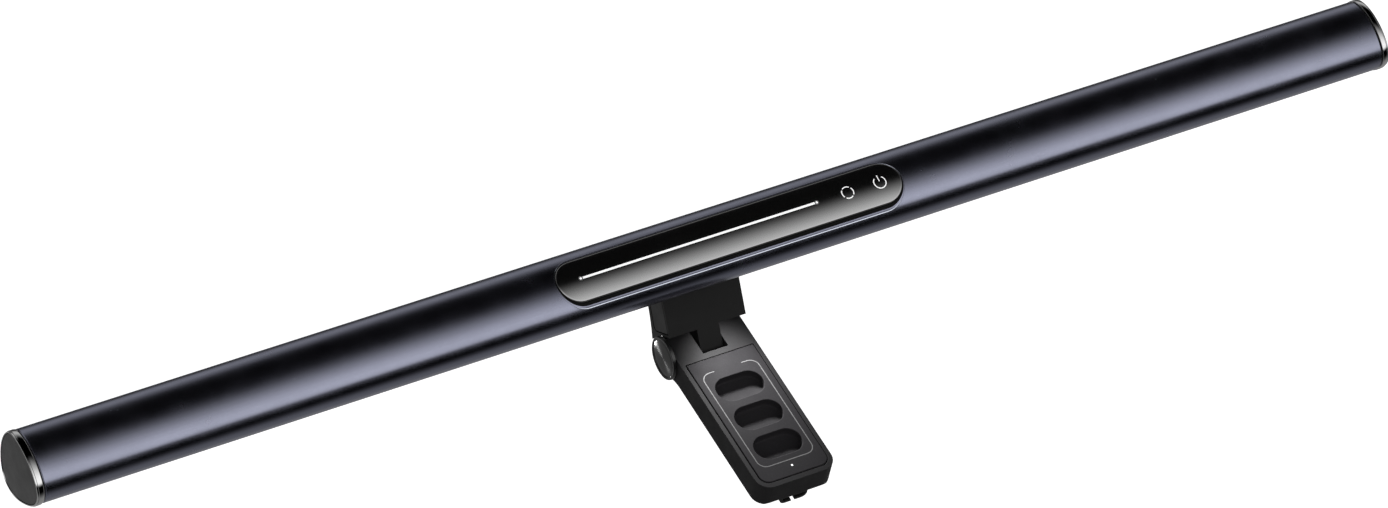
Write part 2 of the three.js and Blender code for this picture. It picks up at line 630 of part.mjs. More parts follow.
add(hinge, 'hinge_nut', washer(3.7, SHAFT_BORE, 9.5, 11.3, 6), STEEL);

// Caps over the two ends of the hinge; they turn with the leg.  The left one is a
// bright-turned disc that stands out of the leg, the right one a plug flush with it.
const CAP_HUB = COUNTERBORE_RADIUS - GAP;

function turnedCap(profile) {
  const points = profile.map(([r, x]) => point(r, x));
  return new THREE.LatheGeometry(points, 32).rotateZ(-Math.PI / 2);
}
const disc = turnedCap([
  [0, 11.8], [CAP_HUB, 11.8], [CAP_HUB, CAP_OUTER_X - 0.8],
  [CAP_RADIUS, CAP_OUTER_X - 0.8], [CAP_RADIUS, CAP_OUTER_X - 0.25],
  [CAP_RADIUS - CAP_RIM, CAP_OUTER_X], [CAP_RADIUS - 0.8, CAP_OUTER_X - 0.15], [0, CAP_OUTER_X - 0.15],
]);
add(leg, 'hinge_cap_left', forSide(disc, -1), BLACK_CAP);
add(leg, 'hinge_cap_right', turnedCap([
  [0, 11.8], [CAP_HUB, 11.8], [CAP_HUB, LEG_HALF - 0.3], [CAP_HUB - CAP_RIM, LEG_HALF], [0, LEG_HALF],
]), BLACK_CAP);

// ---------------------------------------------------------------- leg

const LEG_FLOOR = -LEG_FRONT + PAD_POCKET;       // Y of the wall behind the pad
const LEG_CAVITY = LEG_FLOOR + 0.9;
const LEG_SCREW_X = 8.8;
const LEG_SCREW_Z = [-15.2, -52];
const COVER_THICKNESS = 1.5;

// Side view: a straight slab that grows into the round barrel of the hinge.
function legOutline() {
  const flatTop = Math.sqrt(BARREL_RADIUS ** 2 - LEG_FRONT ** 2);
  const filletEnd = -0.7;            // where the barrel starts, in radians below +Y
  const shape = new THREE.Shape();
  shape.moveTo(-LEG_FRONT, -LEG_LENGTH);
  shape.lineTo(LEG_BACK - 0.6, -LEG_LENGTH);
  shape.lineTo(LEG_BACK, -LEG_LENGTH + 0.6);
  shape.lineTo(LEG_BACK, -9);
  shape.quadraticCurveTo(LEG_BACK + 0.3, -5.9,
    BARREL_RADIUS * Math.cos(filletEnd), BARREL_RADIUS * Math.sin(filletEnd));
  shape.absarc(0, 0, BARREL_RADIUS, filletEnd, Math.PI - Math.atan2(flatTop, LEG_FRONT));
  return shape;
}

const frontPanel = (half, z0, z1, radius, topRadius, y0, y1) =>
  alongY(roundedRectangle(-half, half, z0, z1, radius, topRadius), y0, y1);

function legShell() {
  const slab = alongX(legOutline(), -LEG_HALF, LEG_HALF);
  const rounded = common(slab, frontPanel(LEG_HALF, -LEG_LENGTH, 9, LEG_CORNER, 0.1, -9, 9));
  const notch = box([-NOTCH_HALF, NOTCH_HALF], [-9, 9], [-NOTCH_DEPTH, 9]);
  const padPocket = frontPanel(PAD_HALF + 0.25, -PAD_BOTTOM - 0.25, -PAD_TOP + 0.25,
    PAD_CORNER + 0.2, 0.4, -9, LEG_FLOOR);
  const cavity = frontPanel(PAD_HALF - 0.05, -LEG_LENGTH + 2, -12, 3.2, 2, LEG_CAVITY, 9);
  const posts = LEG_SCREW_Z.flatMap((z) => [-1, 1].map((side) =>
    rod('y', 2.1, LEG_FLOOR + 0.3, LEG_BACK - COVER_THICKNESS - 0.2, [side * LEG_SCREW_X, z], 12)));
  const pilots = LEG_SCREW_Z.flatMap((z) => [-1, 1].map((side) =>
    rod('y', 1.05, LEG_CAVITY - 0.3, 9, [side * LEG_SCREW_X, z], 8)));
  const bore = rod('x', SHAFT_BORE, -14, 14);
  const counterbores = [-1, 1].flatMap((side) => [
    [COUNTERBORE_RADIUS, 8.3, 14], [4.2, 3, TONGUE_HALF + 1.3],
  ].map(([radius, a, b]) =>
    rod('x', radius, Math.min(side * a, side * b), Math.max(side * a, side * b))));
  const hollow = cut(rounded, notch, padPocket, cavity, bore, ...counterbores);
  return cut(join(hollow, ...posts), ...pilots);
}
add(leg, 'leg_shell', legShell(), LEG_GREY);

// Soft pad with three finger recesses; it presses on the back of the monitor.
function legPad() {
  const pad = frontPanel(PAD_HALF, -PAD_BOTTOM, -PAD_TOP, PAD_CORNER, 0.3,
    -LEG_FRONT - PAD_PROUD, LEG_FLOOR - GAP);
  const recesses = [0, 1, 2].map((i) => {
    const z = -RECESS_FIRST - i * RECESS_PITCH;
    return frontPanel(RECESS_HALF_LENGTH, z - RECESS_RADIUS, z + RECESS_RADIUS,
      RECESS_RADIUS - 0.01, RECESS_RADIUS - 0.01, -9, -LEG_FRONT + RECESS_DEPTH);
  });
  return cut(pad, ...recesses);
}
add(leg, 'leg_pad', legPad(), SILICONE);

add(leg, 'counterweight', box(
  [-10.4, 10.4], [LEG_CAVITY + 0.2, LEG_BACK - COVER_THICKNESS - 0.3], [-49, -18.2]), STEEL);

const coverInner = LEG_BACK - COVER_THICKNESS;
add(leg, 'leg_back_cover', cut(
  frontPanel(PAD_HALF - 0.35, -LEG_LENGTH + 2.3, -12.3, 2.9, 1.7, coverInner, LEG_BACK - 0.05),
  ...LEG_SCREW_Z.flatMap((z) => [-1, 1].flatMap((side) => [
    rod('y', 1.15, 0, 9, [side * LEG_SCREW_X, z], 8),
    rod('y', 1.95, LEG_BACK - 0.85, 9, [side * LEG_SCREW_X, z], 12),
  ]))), LEG_GREY);

let legScrewNumber = 0;
for (const z of LEG_SCREW_Z) {
  for (const side of [-1, 1]) {
    legScrewNumber += 1;
    const geometry = screw(1.65, 0.6, 0.8, 3.1).rotateX(-Math.PI / 2)
      .translate(side * LEG_SCREW_X, LEG_BACK - 0.75, z);
    add(leg, `leg_screw_${legScrewNumber}`, geometry, STEEL);
  }
}

// Two curved prongs on the lower back that hold the power lead.
function cableClip() {
  const [inner, outer] = [LEG_BACK + GAP, LEG_BACK + 3.4];
  const half = 4.6;
  const shape = new THREE.Shape();
  shape.moveTo(-half, -inner);
  shape.lineTo(-half, -outer + 2);
  shape.quadraticCurveTo(-half, -outer, -half + 2.2, -outer);
  shape.lineTo(-0.5, -outer);
  shape.lineTo(-0.8, -outer + 0.9);
  shape.lineTo(-half + 2.2, -outer + 0.9);
  shape.quadraticCurveTo(-half + 0.9, -outer + 0.9, -half + 0.9, -outer + 1.9);
  shape.lineTo(-half + 0.9, -inner - 0.8);
  shape.lineTo(half - 0.9, -inner - 0.8);
  shape.lineTo(half - 0.9, -outer + 1.9);
  shape.quadraticCurveTo(half - 0.9, -outer + 0.9, half - 2.2, -outer + 0.9);
  shape.lineTo(0.8, -outer + 0.9);
  shape.lineTo(0.5, -outer);
  shape.lineTo(half - 2.2, -outer);
  shape.quadraticCurveTo(half, -outer, half, -outer + 2);
  shape.lineTo(half, -inner);
  const options = { depth: 5, bevelEnabled: false, curveSegments: 3 };
  return new THREE.ExtrudeGeometry(shape, options)
    .rotateX(Math.PI)
    .translate(0, 0, -LEG_LENGTH + 5.8);
}
add(leg, 'cable_clip', cableClip(), MATTE_DARK);

export default object;
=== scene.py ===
"""Visual model of the monitor light bar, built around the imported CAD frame.

Shapes are worked out in millimetres and written to the meshes in metres, in the frame
of the CAD: +X along the bar, -Y towards the person at the desk, +Z up.
"""
import json
import math

import bmesh
import bpy
from mathutils import Euler, Matrix, Vector

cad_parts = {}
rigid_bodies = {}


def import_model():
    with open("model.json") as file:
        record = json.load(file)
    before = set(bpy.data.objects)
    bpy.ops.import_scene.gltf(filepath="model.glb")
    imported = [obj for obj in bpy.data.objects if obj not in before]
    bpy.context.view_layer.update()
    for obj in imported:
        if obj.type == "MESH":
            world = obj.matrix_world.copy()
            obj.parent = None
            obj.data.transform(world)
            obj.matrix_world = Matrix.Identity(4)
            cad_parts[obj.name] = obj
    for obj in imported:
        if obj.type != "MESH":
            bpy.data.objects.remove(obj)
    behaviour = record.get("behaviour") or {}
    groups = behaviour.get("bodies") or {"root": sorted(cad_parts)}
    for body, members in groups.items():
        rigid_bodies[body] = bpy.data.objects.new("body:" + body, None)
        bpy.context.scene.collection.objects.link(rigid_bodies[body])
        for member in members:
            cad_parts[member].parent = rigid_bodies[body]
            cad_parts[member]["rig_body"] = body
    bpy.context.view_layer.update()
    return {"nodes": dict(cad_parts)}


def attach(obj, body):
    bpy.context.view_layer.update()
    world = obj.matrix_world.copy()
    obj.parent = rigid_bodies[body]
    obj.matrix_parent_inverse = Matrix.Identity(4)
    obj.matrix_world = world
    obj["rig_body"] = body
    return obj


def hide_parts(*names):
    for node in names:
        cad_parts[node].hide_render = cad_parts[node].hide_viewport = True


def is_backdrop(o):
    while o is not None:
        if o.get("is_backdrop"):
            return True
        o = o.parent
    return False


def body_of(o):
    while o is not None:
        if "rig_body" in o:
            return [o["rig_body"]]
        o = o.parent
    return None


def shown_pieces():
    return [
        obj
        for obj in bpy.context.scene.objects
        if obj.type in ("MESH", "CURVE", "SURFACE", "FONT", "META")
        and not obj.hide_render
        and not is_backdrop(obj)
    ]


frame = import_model()

MM = 0.001
TAU = 2 * math.pi
SIDES = (("left", -1), ("right", 1))

# ------------------------------------------------------------------ sizes, millimetres

BAR_Y, BAR_Z = -15.5, 9.5
WIDEST_Z = BAR_Z - 3
HALF_WIDTH = 12.5
CROWN_HEIGHT, CROWN_POWER = 13.7, 1.69
BELLY_DEPTH, BELLY_POWER = 7.7, 2.4
BAR_WALL = 1.4
BODY_END = 222.45
LENS_HALF = 7.6

PANEL_X = -0.8
PANEL_HALF_LENGTH = 57
PANEL_HALF_WIDTH = 6.6
PANEL_ANGLE = math.radians(40.5)
PANEL_PROUD = 0.35
PANEL_BOTTOM = -0.95
SLIDER_X = -11.2
SLIDER_HALF = 39.15
TONE_X = 38.4
POWER_X = 49.3

INLET_X, INLET_Z = 34, 8.6

BRACKET_HALF = 12.9
COVER_SCREW_Z = (-12, 0.4)
HINGE_Y, HINGE_Z = 9.2, -26.9
DISC_FACE = -14
LEG_TILT = math.radians(-51.2)
LEG_PLACE = Matrix.Translation((0, HINGE_Y, HINGE_Z)) @ Matrix.Rotation(LEG_TILT, 4, "X")
LEG_HALF = 12.9
LEG_LENGTH = 57.4
LEG_FRONT = -4.7
LEG_BACK = 3.3
LEG_SCREW_X = (-8.8, 8.8)
LEG_SCREW_Z = (-15.2, -52)
PAD_FACE = -4.85
BARREL_RADIUS = 6.3

# ------------------------------------------------------------------ materials


class Finish:
    """A principled material whose colour, roughness and normal come from noise."""

    def __init__(self, name, **constants):
        self.material = bpy.data.materials.new(name)
        self.material.use_nodes = True
        self.tree = self.material.node_tree
        self.shader = self.tree.nodes["Principled BSDF"]
        self.normal = None
        self.coordinates = self.node("ShaderNodeTexCoord").outputs["Object"]
        for socket, value in constants.items():
            self.shader.inputs[socket.replace("_", " ")].default_value = value

    def node(self, kind, inputs=(), **settings):
        made = self.tree.nodes.new(kind)
        for key, value in settings.items():
            setattr(made, key, value)
        for key, value in dict(inputs).items():
            if isinstance(value, bpy.types.NodeSocket):
                self.tree.links.new(value, made.inputs[key])
            else:
                made.inputs[key].default_value = value
        return made

    def noise(self, scale, detail=3, roughness=0.55, stretch=None):
        """Noise with features about 1/scale metres long; stretch divides X by a factor."""
        place = self.coordinates
        if stretch:
            mapping = self.node("ShaderNodeMapping", {"Vector": place, "Scale": (1 / stretch, 1, 1)})
            place = mapping.outputs["Vector"]
        made = self.node("ShaderNodeTexNoise", {
            "Vector": place, "Scale": scale, "Detail": detail, "Roughness": roughness})
        return made.outputs["Fac"]

    def ramp(self, factor, low, high, start=0.3, end=0.7):
        made = self.node("ShaderNodeMapRange", {
            "Value": factor, "From Min": start, "From Max": end, "To Min": low, "To Max": high})
        return made.outputs["Result"]

    def mix(self, factor, first, second):
        made = self.node("ShaderNodeMix", data_type="RGBA")
        for socket, value in (("Factor", factor), ("A", first), ("B", second)):
            target = next(s for s in made.inputs if s.name == socket and s.enabled)
            if isinstance(value, bpy.types.NodeSocket):
                self.tree.links.new(value, target)
            else:
                target.default_value = value
        return next(s for s in made.outputs if s.enabled)

    def colour(self, socket):
        self.tree.links.new(socket, self.shader.inputs["Base Color"])
        return self

    def roughness(self, socket):
        self.tree.links.new(socket, self.shader.inputs["Roughness"])
        return self

    def bump(self, height, depth, strength=1.0):
        inputs = {"Height": height, "Distance": depth * MM, "Strength": strength}
        if self.normal:
            inputs["Normal"] = self.normal
        self.normal = self.node("ShaderNodeBump", inputs).outputs["Normal"]
        self.tree.links.new(self.normal, self.shader.inputs["Normal"])
        return self

    def edges(self, radius, gain=6.0):
        """1 on convex and concave edges that are sharper than the radius, 0 on open faces."""
        rounded = self.node("ShaderNodeBevel", {"Radius": radius * MM}, samples=4)
        true_normal = self.node("ShaderNodeNewGeometry").outputs["Normal"]
        dot = self.node("ShaderNodeVectorMath", operation="DOT_PRODUCT")
        self.tree.links.new(rounded.outputs["Normal"], dot.inputs[0])
        self.tree.links.new(true_normal, dot.inputs[1])
        return self.ramp(dot.outputs["Value"], gain, 0, 0.7, 1.0)


def rgb(grey, blue=0.0, warm=0.0):
    return (grey * (1 + warm), grey, grey * (1 + blue), 1)


def plastic(name, grey, roughness, blue=0.0, warm=0.0, grain=2600, depth=0.02, wear=0.5, **constants):
    """Moulded plastic: spark-eroded grain, slight mottling, rubbed edges."""
    made = Finish(name, **constants)
    mottle = made.noise(90, 4)
    body = made.mix(mottle, rgb(grey * 0.88, blue, warm), rgb(grey * 1.12, blue, warm))
    speck = made.ramp(made.noise(grain * 1.4, 2), 0.0, 0.35, 0.5, 0.75)
    body = made.mix(speck, body, rgb(grey * 1.6 + 0.004, blue, warm))
    edge = made.node("ShaderNodeMath", {0: made.edges(0.35, wear), 1: made.noise(300, 3)},
                     operation="MULTIPLY", use_clamp=True)
    made.colour(made.mix(edge.outputs["Value"], body, rgb(grey * 2.2 + 0.01, blue, warm)))
    made.roughness(made.ramp(made.noise(160, 4), roughness - 0.06, roughness + 0.06))
    made.bump(made.noise(grain, 3, 0.65), depth)
    return made.material


def anodised(name, base, roughness, depth=0.004):
    """Bead-blasted, anodised extrusion: fine satin grain with faint lines along the bar."""
    made = Finish(name, Metallic=1.0)
    tint = made.noise(35, 3)
    darker = tuple(c * 0.95 for c in base[:3]) + (1,)
    lighter = tuple(c * 1.05 for c in base[:3]) + (1,)
    shade = made.mix(tint, darker, lighter)
    draw = made.ramp(made.noise(2400, 2, stretch=220), 0.0, 0.10)
    shade = made.mix(draw, shade, tuple(c * 0.72 for c in base[:3]) + (1,))
    spark = made.ramp(made.noise(5200, 1), 0.0, 0.22, 0.55, 0.8)
    made.colour(made.mix(spark, shade, tuple(min(1, c * 1.9) for c in base[:3]) + (1,)))
    made.roughness(made.ramp(made.noise(120, 4), roughness - 0.025, roughness + 0.025))
    made.bump(made.noise(4200, 2, 0.6), depth)
    made.bump(made.noise(1800, 2, stretch=160), depth * 0.4)
    return made.material


def gloss(name, grey, roughness=0.06, **constants):
    """Polished black: nearly flat, with faint moulding waves, dust and rubbed patches."""
    made = Finish(name, **constants)
    dust = made.ramp(made.noise(5200, 2), 0.0, 0.5, 0.66, 0.8)
    made.colour(made.mix(dust, rgb(grey), rgb(grey * 3 + 0.01)))
    smear = made.ramp(made.noise(70, 5, 0.6), roughness, roughness + 0.05, 0.35, 0.7)
    made.roughness(smear)
    made.bump(made.noise(45, 2), 0.015, 0.5)
    return made.material


def steel(name, base, roughness, turned=900):
    made = Finish(name, Metallic=1.0)
    tone = made.noise(500, 4)
    made.colour(made.mix(tone, tuple(c * 0.8 for c in base[:3]) + (1,), base))
    made.roughness(made.ramp(made.noise(900, 3), roughness - 0.08, roughness + 0.1))
    made.bump(made.noise(turned, 3, stretch=0.2), 0.01)
    return made.material


def printed(name, grey, painted_glow):
    """White ink or light guide seen through the panel, a little uneven; its glow is painted light,
    emission that keeps it bright whatever lamps there are.
    """
    made = Finish(name, Emission_Color=(1, 1, 1, 1), Emission_Strength=painted_glow)
    made.colour(made.mix(made.noise(900, 3), rgb(grey * 0.9), rgb(grey)))
    made.roughness(made.ramp(made.noise(1500, 2), 0.25, 0.4))
    made.bump(made.noise(3000, 2), 0.004)
    return made.material


def opal(name):
    """Opal polycarbonate of the diffuser."""
    made = Finish(name, Subsurface_Weight=0.35, Subsurface_Scale=0.002)
    made.colour(made.mix(made.noise(60, 3), (0.86, 0.86, 0.83, 1), (0.93, 0.93, 0.91, 1)))
    made.roughness(made.ramp(made.noise(400, 4), 0.35, 0.5))
    made.bump(made.noise(3500, 2), 0.006)
    return made.material


def board(name):
    """Solder mask with faint tracks under it."""
    made = Finish(name, Coat_Weight=0.4)
    cells = made.node("ShaderNodeTexBrick", {
        "Vector": made.coordinates, "Scale": 500.0, "Color1": (0.01, 0.09, 0.05, 1),
        "Color2": (0.015, 0.11, 0.06, 1), "Mortar": (0.03, 0.18, 0.09, 1), "Mortar Size": 0.03})
    made.colour(cells.outputs["Color"])
    made.roughness(made.ramp(made.noise(700, 3), 0.3, 0.5))
    made.bump(cells.outputs["Fac"], 0.02)
    return made.material


def spun(name):
    """Bright-turned disc: fine concentric lines, and highlights that fan out from the centre."""
    made = Finish(name, Metallic=1.0, Anisotropic=0.85, Anisotropic_Rotation=0.25)
    tangent = made.node("ShaderNodeTangent", direction_type="RADIAL", axis="X")
    made.tree.links.new(tangent.outputs["Tangent"], made.shader.inputs["Tangent"])
    place = made.node("ShaderNodeTexCoord").outputs["Generated"]
    centred = made.node("ShaderNodeVectorMath", {0: place, 1: (0.5, 0.5, 0.5)},
                        operation="SUBTRACT")
    flat = made.node("ShaderNodeVectorMath", {0: centred.outputs["Vector"], 1: (0, 1, 1)},
                     operation="MULTIPLY")
    radius = made.node("ShaderNodeVectorMath", {0: flat.outputs["Vector"]}, operation="LENGTH")
    noise = {"W": radius.outputs["Value"], "Scale": 160.0, "Detail": 2.0}
    rings = made.node("ShaderNodeTexNoise", noise, noise_dimensions="1D").outputs["Fac"]
    made.colour(made.mix(rings, rgb(0.012), rgb(0.03)))
    made.roughness(made.ramp(rings, 0.14, 0.22))
    made.bump(rings, 0.001, 0.5)
    return made.material


ALUMINIUM = anodised("anodised", (0.185, 0.191, 0.243, 1), 0.25)
CUT_EDGE = anodised("cut_edge", (0.42, 0.44, 0.50, 1), 0.22, 0.002)
RAW = anodised("raw_aluminium", (0.55, 0.56, 0.58, 1), 0.4)
PANEL_BLACK = gloss("panel_gloss", 0.006, 0.12, IOR=2.9)
RING_CHROME = gloss("ring_chrome", 0.45, 0.04, Metallic=1.0)
CAP_PLASTIC = plastic("cap_plastic", 0.04, 0.5, depth=0.01)
BRACKET_PLASTIC = plastic("bracket_plastic", 0.005, 0.52, warm=0.02, depth=0.012,
                          Specular_IOR_Level=0.22)
COVER_PLASTIC = plastic("cover_plastic", 0.006, 0.5, depth=0.012, Specular_IOR_Level=0.3)
LEG_PLASTIC = plastic("leg_plastic", 0.011, 0.62, blue=0.06, warm=0.04, depth=0.012,
                      Specular_IOR_Level=0.12)
PAD_SILICONE = plastic("pad_silicone", 0.014, 0.7, blue=0.1, warm=0.06, grain=1800, depth=0.01,
                       wear=0.2, Specular_IOR_Level=0.08)
SEAT_SILICONE = plastic("seat_silicone", 0.035, 0.7, grain=1400, depth=0.02, wear=0.2)
GASKET = plastic("gasket", 0.003, 0.7, depth=0.004, wear=0.0, Specular_IOR_Level=0.1)
SPUN_BLACK = spun("spun_black")
RIM_BLACK = gloss("rim_black", 0.03, 0.16, Metallic=0.7)
STEEL = steel("steel", (0.52, 0.53, 0.55, 1), 0.3)
BLACK_SCREW = steel("black_screw", (0.09, 0.09, 0.10, 1), 0.35)
# The white ink is given a painted glow (emission 0.5): it shines by itself, though it is no lamp.
INK_WHITE_PAINTED_GLOW = printed("ink_white_painted_glow", 0.9, 0.5)
INK_GREY = printed("ink_grey", 0.14, 0.0)
LENS = opal("opal_lens")
WHITE_PLASTIC = printed("white_plastic", 0.85, 0.0)
BOARD = board("circuit_board")

# ------------------------------------------------------------------ the bar's section


def section(angle, offset=0.0):
    """Point (y, z) of the bar's outline moved outwards by offset; angle from +Y over the top."""
    c, s = math.cos(angle), math.sin(angle)
    height = (CROWN_HEIGHT if s >= 0 else BELLY_DEPTH) + offset
    power = CROWN_POWER if s >= 0 else BELLY_POWER
    reach = (abs(c / (HALF_WIDTH + offset)) ** power + abs(s / height) ** power) ** (-1 / power)
    return BAR_Y + reach * c, WIDEST_Z + reach * s


def section_normal(y, z):
    """Outward normal of the bar's skin at a point on it."""
    y, z = y - BAR_Y, z - WIDEST_Z
    height, power = (CROWN_HEIGHT, CROWN_POWER) if z >= 0 else (BELLY_DEPTH, BELLY_POWER)
    ny = math.copysign(abs(y / HALF_WIDTH) ** (power - 1) / HALF_WIDTH, y)
    nz = math.copysign(abs(z / height) ** (power - 1) / height, z)
    return Vector((0, ny, nz)).normalized()


def skin_distance(y, z):
    """How far a point lies outside the skin, near it."""
    y, z = y - BAR_Y, z - WIDEST_Z
    height, power = (CROWN_HEIGHT, CROWN_POWER) if z >= 0 else (BELLY_DEPTH, BELLY_POWER)
    level = (abs(y / HALF_WIDTH) ** power + abs(z / height) ** power) ** (1 / power)
    return (level - 1) * math.hypot(y, z) / max(level, 1e-6)


def bisect(test, low, high, rounds=36):
    for _ in range(rounds):
        middle = (low + high) / 2
        low, high = (middle, high) if test(middle) else (low, middle)
    return low


def slot_angle(half_width, offset):
    """Angle at which the outline reaches half_width beside the middle of the underside."""
    return bisect(lambda a: section(a, offset)[0] - BAR_Y < half_width, 1.5 * math.pi, TAU)


PANEL_OUT = Vector((-math.cos(PANEL_ANGLE), math.sin(PANEL_ANGLE)))
PANEL_UP = Vector((math.sin(PANEL_ANGLE), math.cos(PANEL_ANGLE)))
reach_cache = {}


def on_panel(u, w, offset):
    """Point over the bar's skin: u along the bar, w up across the panel from its middle."""
    key = (round(w, 4), offset)
    if key not in reach_cache:
        def below(angle):
            y, z = section(angle, offset)
            return (y - BAR_Y) * PANEL_UP.x + (z - WIDEST_Z) * PANEL_UP.y > w
        angle = bisect(below, math.pi - PANEL_ANGLE - 1.4, math.pi - PANEL_ANGLE + 1.4)
        y, z = section(angle, offset)
        reach_cache[key] = (y - BAR_Y) * PANEL_OUT.x + (z - WIDEST_Z) * PANEL_OUT.y
    reach = reach_cache[key]
    flat = PANEL_UP * w + PANEL_OUT * reach
    return Vector((u, BAR_Y + flat.x, WIDEST_Z + flat.y))


# ------------------------------------------------------------------ mesh building


def make(name, points, faces, *materials):
    """A mesh object from points in millimetres, with all its normals outwards."""
    mesh = bpy.data.meshes.new(name)
    mesh.from_pydata([Vector(p) * MM for p in points], [], faces)
    work = bmesh.new()
    work.from_mesh(mesh)
    bmesh.ops.remove_doubles(work, verts=work.verts, dist=1e-8)
    bmesh.ops.recalc_face_normals(work, faces=work.faces)
    work.to_mesh(mesh)
    work.free()
    made = bpy.data.objects.new(name, mesh)
    bpy.context.scene.collection.objects.link(made)
    for each in materials:
        mesh.materials.append(each)
    return made


def loft(name, rings, *materials, caps=True):
    """Joins closed rings of equal length one after the other; caps close both ends."""
    count = len(rings[0])
    points = [p for ring in rings for p in ring]
    faces = []
    for k in range(len(rings) - 1):
        for i in range(count):
            j = (i + 1) % count
            faces.append((k * count + i, k * count + j, (k + 1) * count + j, (k + 1) * count + i))
    if caps:
        faces.append(tuple(range(count)))
        faces.append(tuple((len(rings) - 1) * count + i for i in range(count)))
    else:
        last = (len(rings) - 1) * count
        for i in range(count):
            j = (i + 1) % count
            faces.append((last + i, last + j, j, i))
    return make(name, points, faces, *materials)


def prism(name, outline, axis, low, high, *materials):
    """An outline in the two other axes, in their X, Y, Z order, pulled along one axis."""
    order = {"x": lambda a, p: (a, p[0], p[1]), "y": lambda a, p: (p[0], a, p[1]),
             "z": lambda a, p: (p[0], p[1], a)}[axis]
    return loft(name, [[order(a, p) for p in outline] for a in (low, high)], *materials)


def arc(cx, cy, radius, start, end, steps):
    return [(cx + radius * math.cos(a), cy + radius * math.sin(a))
            for a in (start + (end - start) * i / steps for i in range(steps + 1))]


def circle(cx, cy, radius, steps=64):
    return arc(cx, cy, radius, 0, TAU, steps)[:-1]


def rounded(x0, x1, y0, y1, low_radius, high_radius=None, steps=10):
    high_radius = low_radius if high_radius is None else high_radius
    quarter = math.pi / 2
    return (arc(x1 - low_radius, y0 + low_radius, low_radius, -quarter, 0, steps)
            + arc(x1 - high_radius, y1 - high_radius, high_radius, 0, quarter, steps)
            + arc(x0 + high_radius, y1 - high_radius, high_radius, quarter, 2 * quarter, steps)
            + arc(x0 + low_radius, y0 + low_radius, low_radius, 2 * quarter, 3 * quarter, steps))


def curve(start, control, end, steps=8):
    """Points of a quadratic curve, without its first point."""
    return [tuple((1 - t) ** 2 * a + 2 * t * (1 - t) * b + t * t * c
                  for a, b, c in zip(start, control, end))
            for t in ((i + 1) / steps for i in range(steps))]


def lathe(name, profile, steps, *materials, centre=(0, 0), angle=0.0):
    """Turns (radius, x) points about a line along X, from one end's middle to the other's."""
    rings = [[(x, centre[0] + r * math.cos(a + angle), centre[1] + r * math.sin(a + angle))
              for a in (TAU * i / steps for i in range(steps))]
             for r, x in profile]
    return loft(name, rings, *materials)


def freeze(target):
    """Applies the modifiers."""
    graph = bpy.context.evaluated_depsgraph_get()
    mesh = bpy.data.meshes.new_from_object(target.evaluated_get(graph))
    target.modifiers.clear()
    target.data = mesh
    return target


def combine(target, others, operation="DIFFERENCE"):
    for other in others:
        step = target.modifiers.new("step", "BOOLEAN")
        step.operation, step.object, step.solver = operation, other, "EXACT"
    freeze(target)
    for other in others:
        bpy.data.objects.remove(other)
    return target


def soften(target, width, segments=3, angle=32):
    """Rounds every edge that is sharper than the angle."""
    work = bmesh.new()
    work.from_mesh(target.data)
    bmesh.ops.remove_doubles(work, verts=work.verts, dist=2e-6)
    bmesh.ops.dissolve_limit(work, angle_limit=math.radians(0.4), verts=work.verts, edges=work.edges,
                             delimit={"MATERIAL"})
    work.to_mesh(target.data)
    work.free()
    bevel = target.modifiers.new("bevel", "BEVEL")
    bevel.width, bevel.segments = width * MM, segments
    bevel.limit_method, bevel.angle_limit = "ANGLE", math.radians(angle)
    bevel.harden_normals = True
    shade(target, angle)
    return freeze(target)


def shade(target, angle=30):
    target.data.shade_smooth()
    target.data.set_sharp_from_angle(angle=math.radians(angle))
    return target


def skin_normals(target):
    """Gives faces that lie on the bar's skin the normals of the true section."""
    mesh = target.data
    shade(target)
    normals = [Vector(n.vector) for n in mesh.corner_normals]
    for face in mesh.polygons:
        centre = face.center / MM
        if abs(skin_distance(centre.y, centre.z)) > 0.02:
            continue
        if face.normal.dot(section_normal(centre.y, centre.z)) < 0.995:
            continue
        for corner in face.loop_indices:
            place = mesh.vertices[mesh.loops[corner].vertex_index].co / MM
            normals[corner] = section_normal(place.y, place.z)
    mesh.normals_split_custom_set(normals)
    return target


def install(target, body, slot, *nodes):
    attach(target, body)
    if nodes:
        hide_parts(*nodes)
    return target


def place_leg(target):
    """Moves a mesh made in the leg's own frame, hinge at the origin, to its rest place."""
    matrix = LEG_PLACE.copy()
    matrix.translation *= MM
    target.data.transform(matrix)
    return target


# ------------------------------------------------------------------ camera, floor, light


# Where the camera stands, and how far it is turned, in degrees about X, then Y, then Z.
CAMERA_PLACE = (-843.21, -1786.10, 550.67)
CAMERA_TURN = (74.2478, 10.3377, -28.1168)
CAMERA_LENS = 182.1


def camera():
    data = bpy.data.cameras.new("camera")
    data.lens, data.sensor_width = CAMERA_LENS, 36
    data.clip_start, data.clip_end = 0.05, 60
    made = bpy.data.objects.new("camera", data)
    turn = Euler([math.radians(a) for a in CAMERA_TURN]).to_matrix().to_4x4()
    made.matrix_world = Matrix.Translation(Vector(CAMERA_PLACE) * MM) @ turn
    bpy.context.scene.collection.objects.link(made)
    bpy.context.scene.camera = made


def floor():
    steps, radius, level = 64, 30000, -420
    made = make("floor", [(x, y, level) for x, y in circle(0, 0, radius, steps)],
                [tuple(range(steps))])
    surface = Finish("floor", Roughness=0.9, Emission_Color=(1, 1, 1, 1), Emission_Strength=0.9)
    surface.colour(surface.mix(surface.noise(3, 2), rgb(0.86), rgb(0.9)))
    made.data.materials.append(surface.material)
    made.visible_glossy = False
    made.visible_diffuse = False
    made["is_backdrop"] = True


# The studio's soft lights, as bands round the bar's axis.  Angles are in degrees from
# straight ahead (-Y) over the top: where a band starts, is full, starts to fade and ends.
SOFT_LIGHTS = {
    "front_softbox": ((-20, 0, 5, 60), 2.0),
    "rear_softbox": ((100, 125, 125, 150), 0.85),
    "back_wall": ((150, 180, 190, 200), 0.4),
    "floor_bounce": ((-200, -190, -95, -40), 0.4),
}
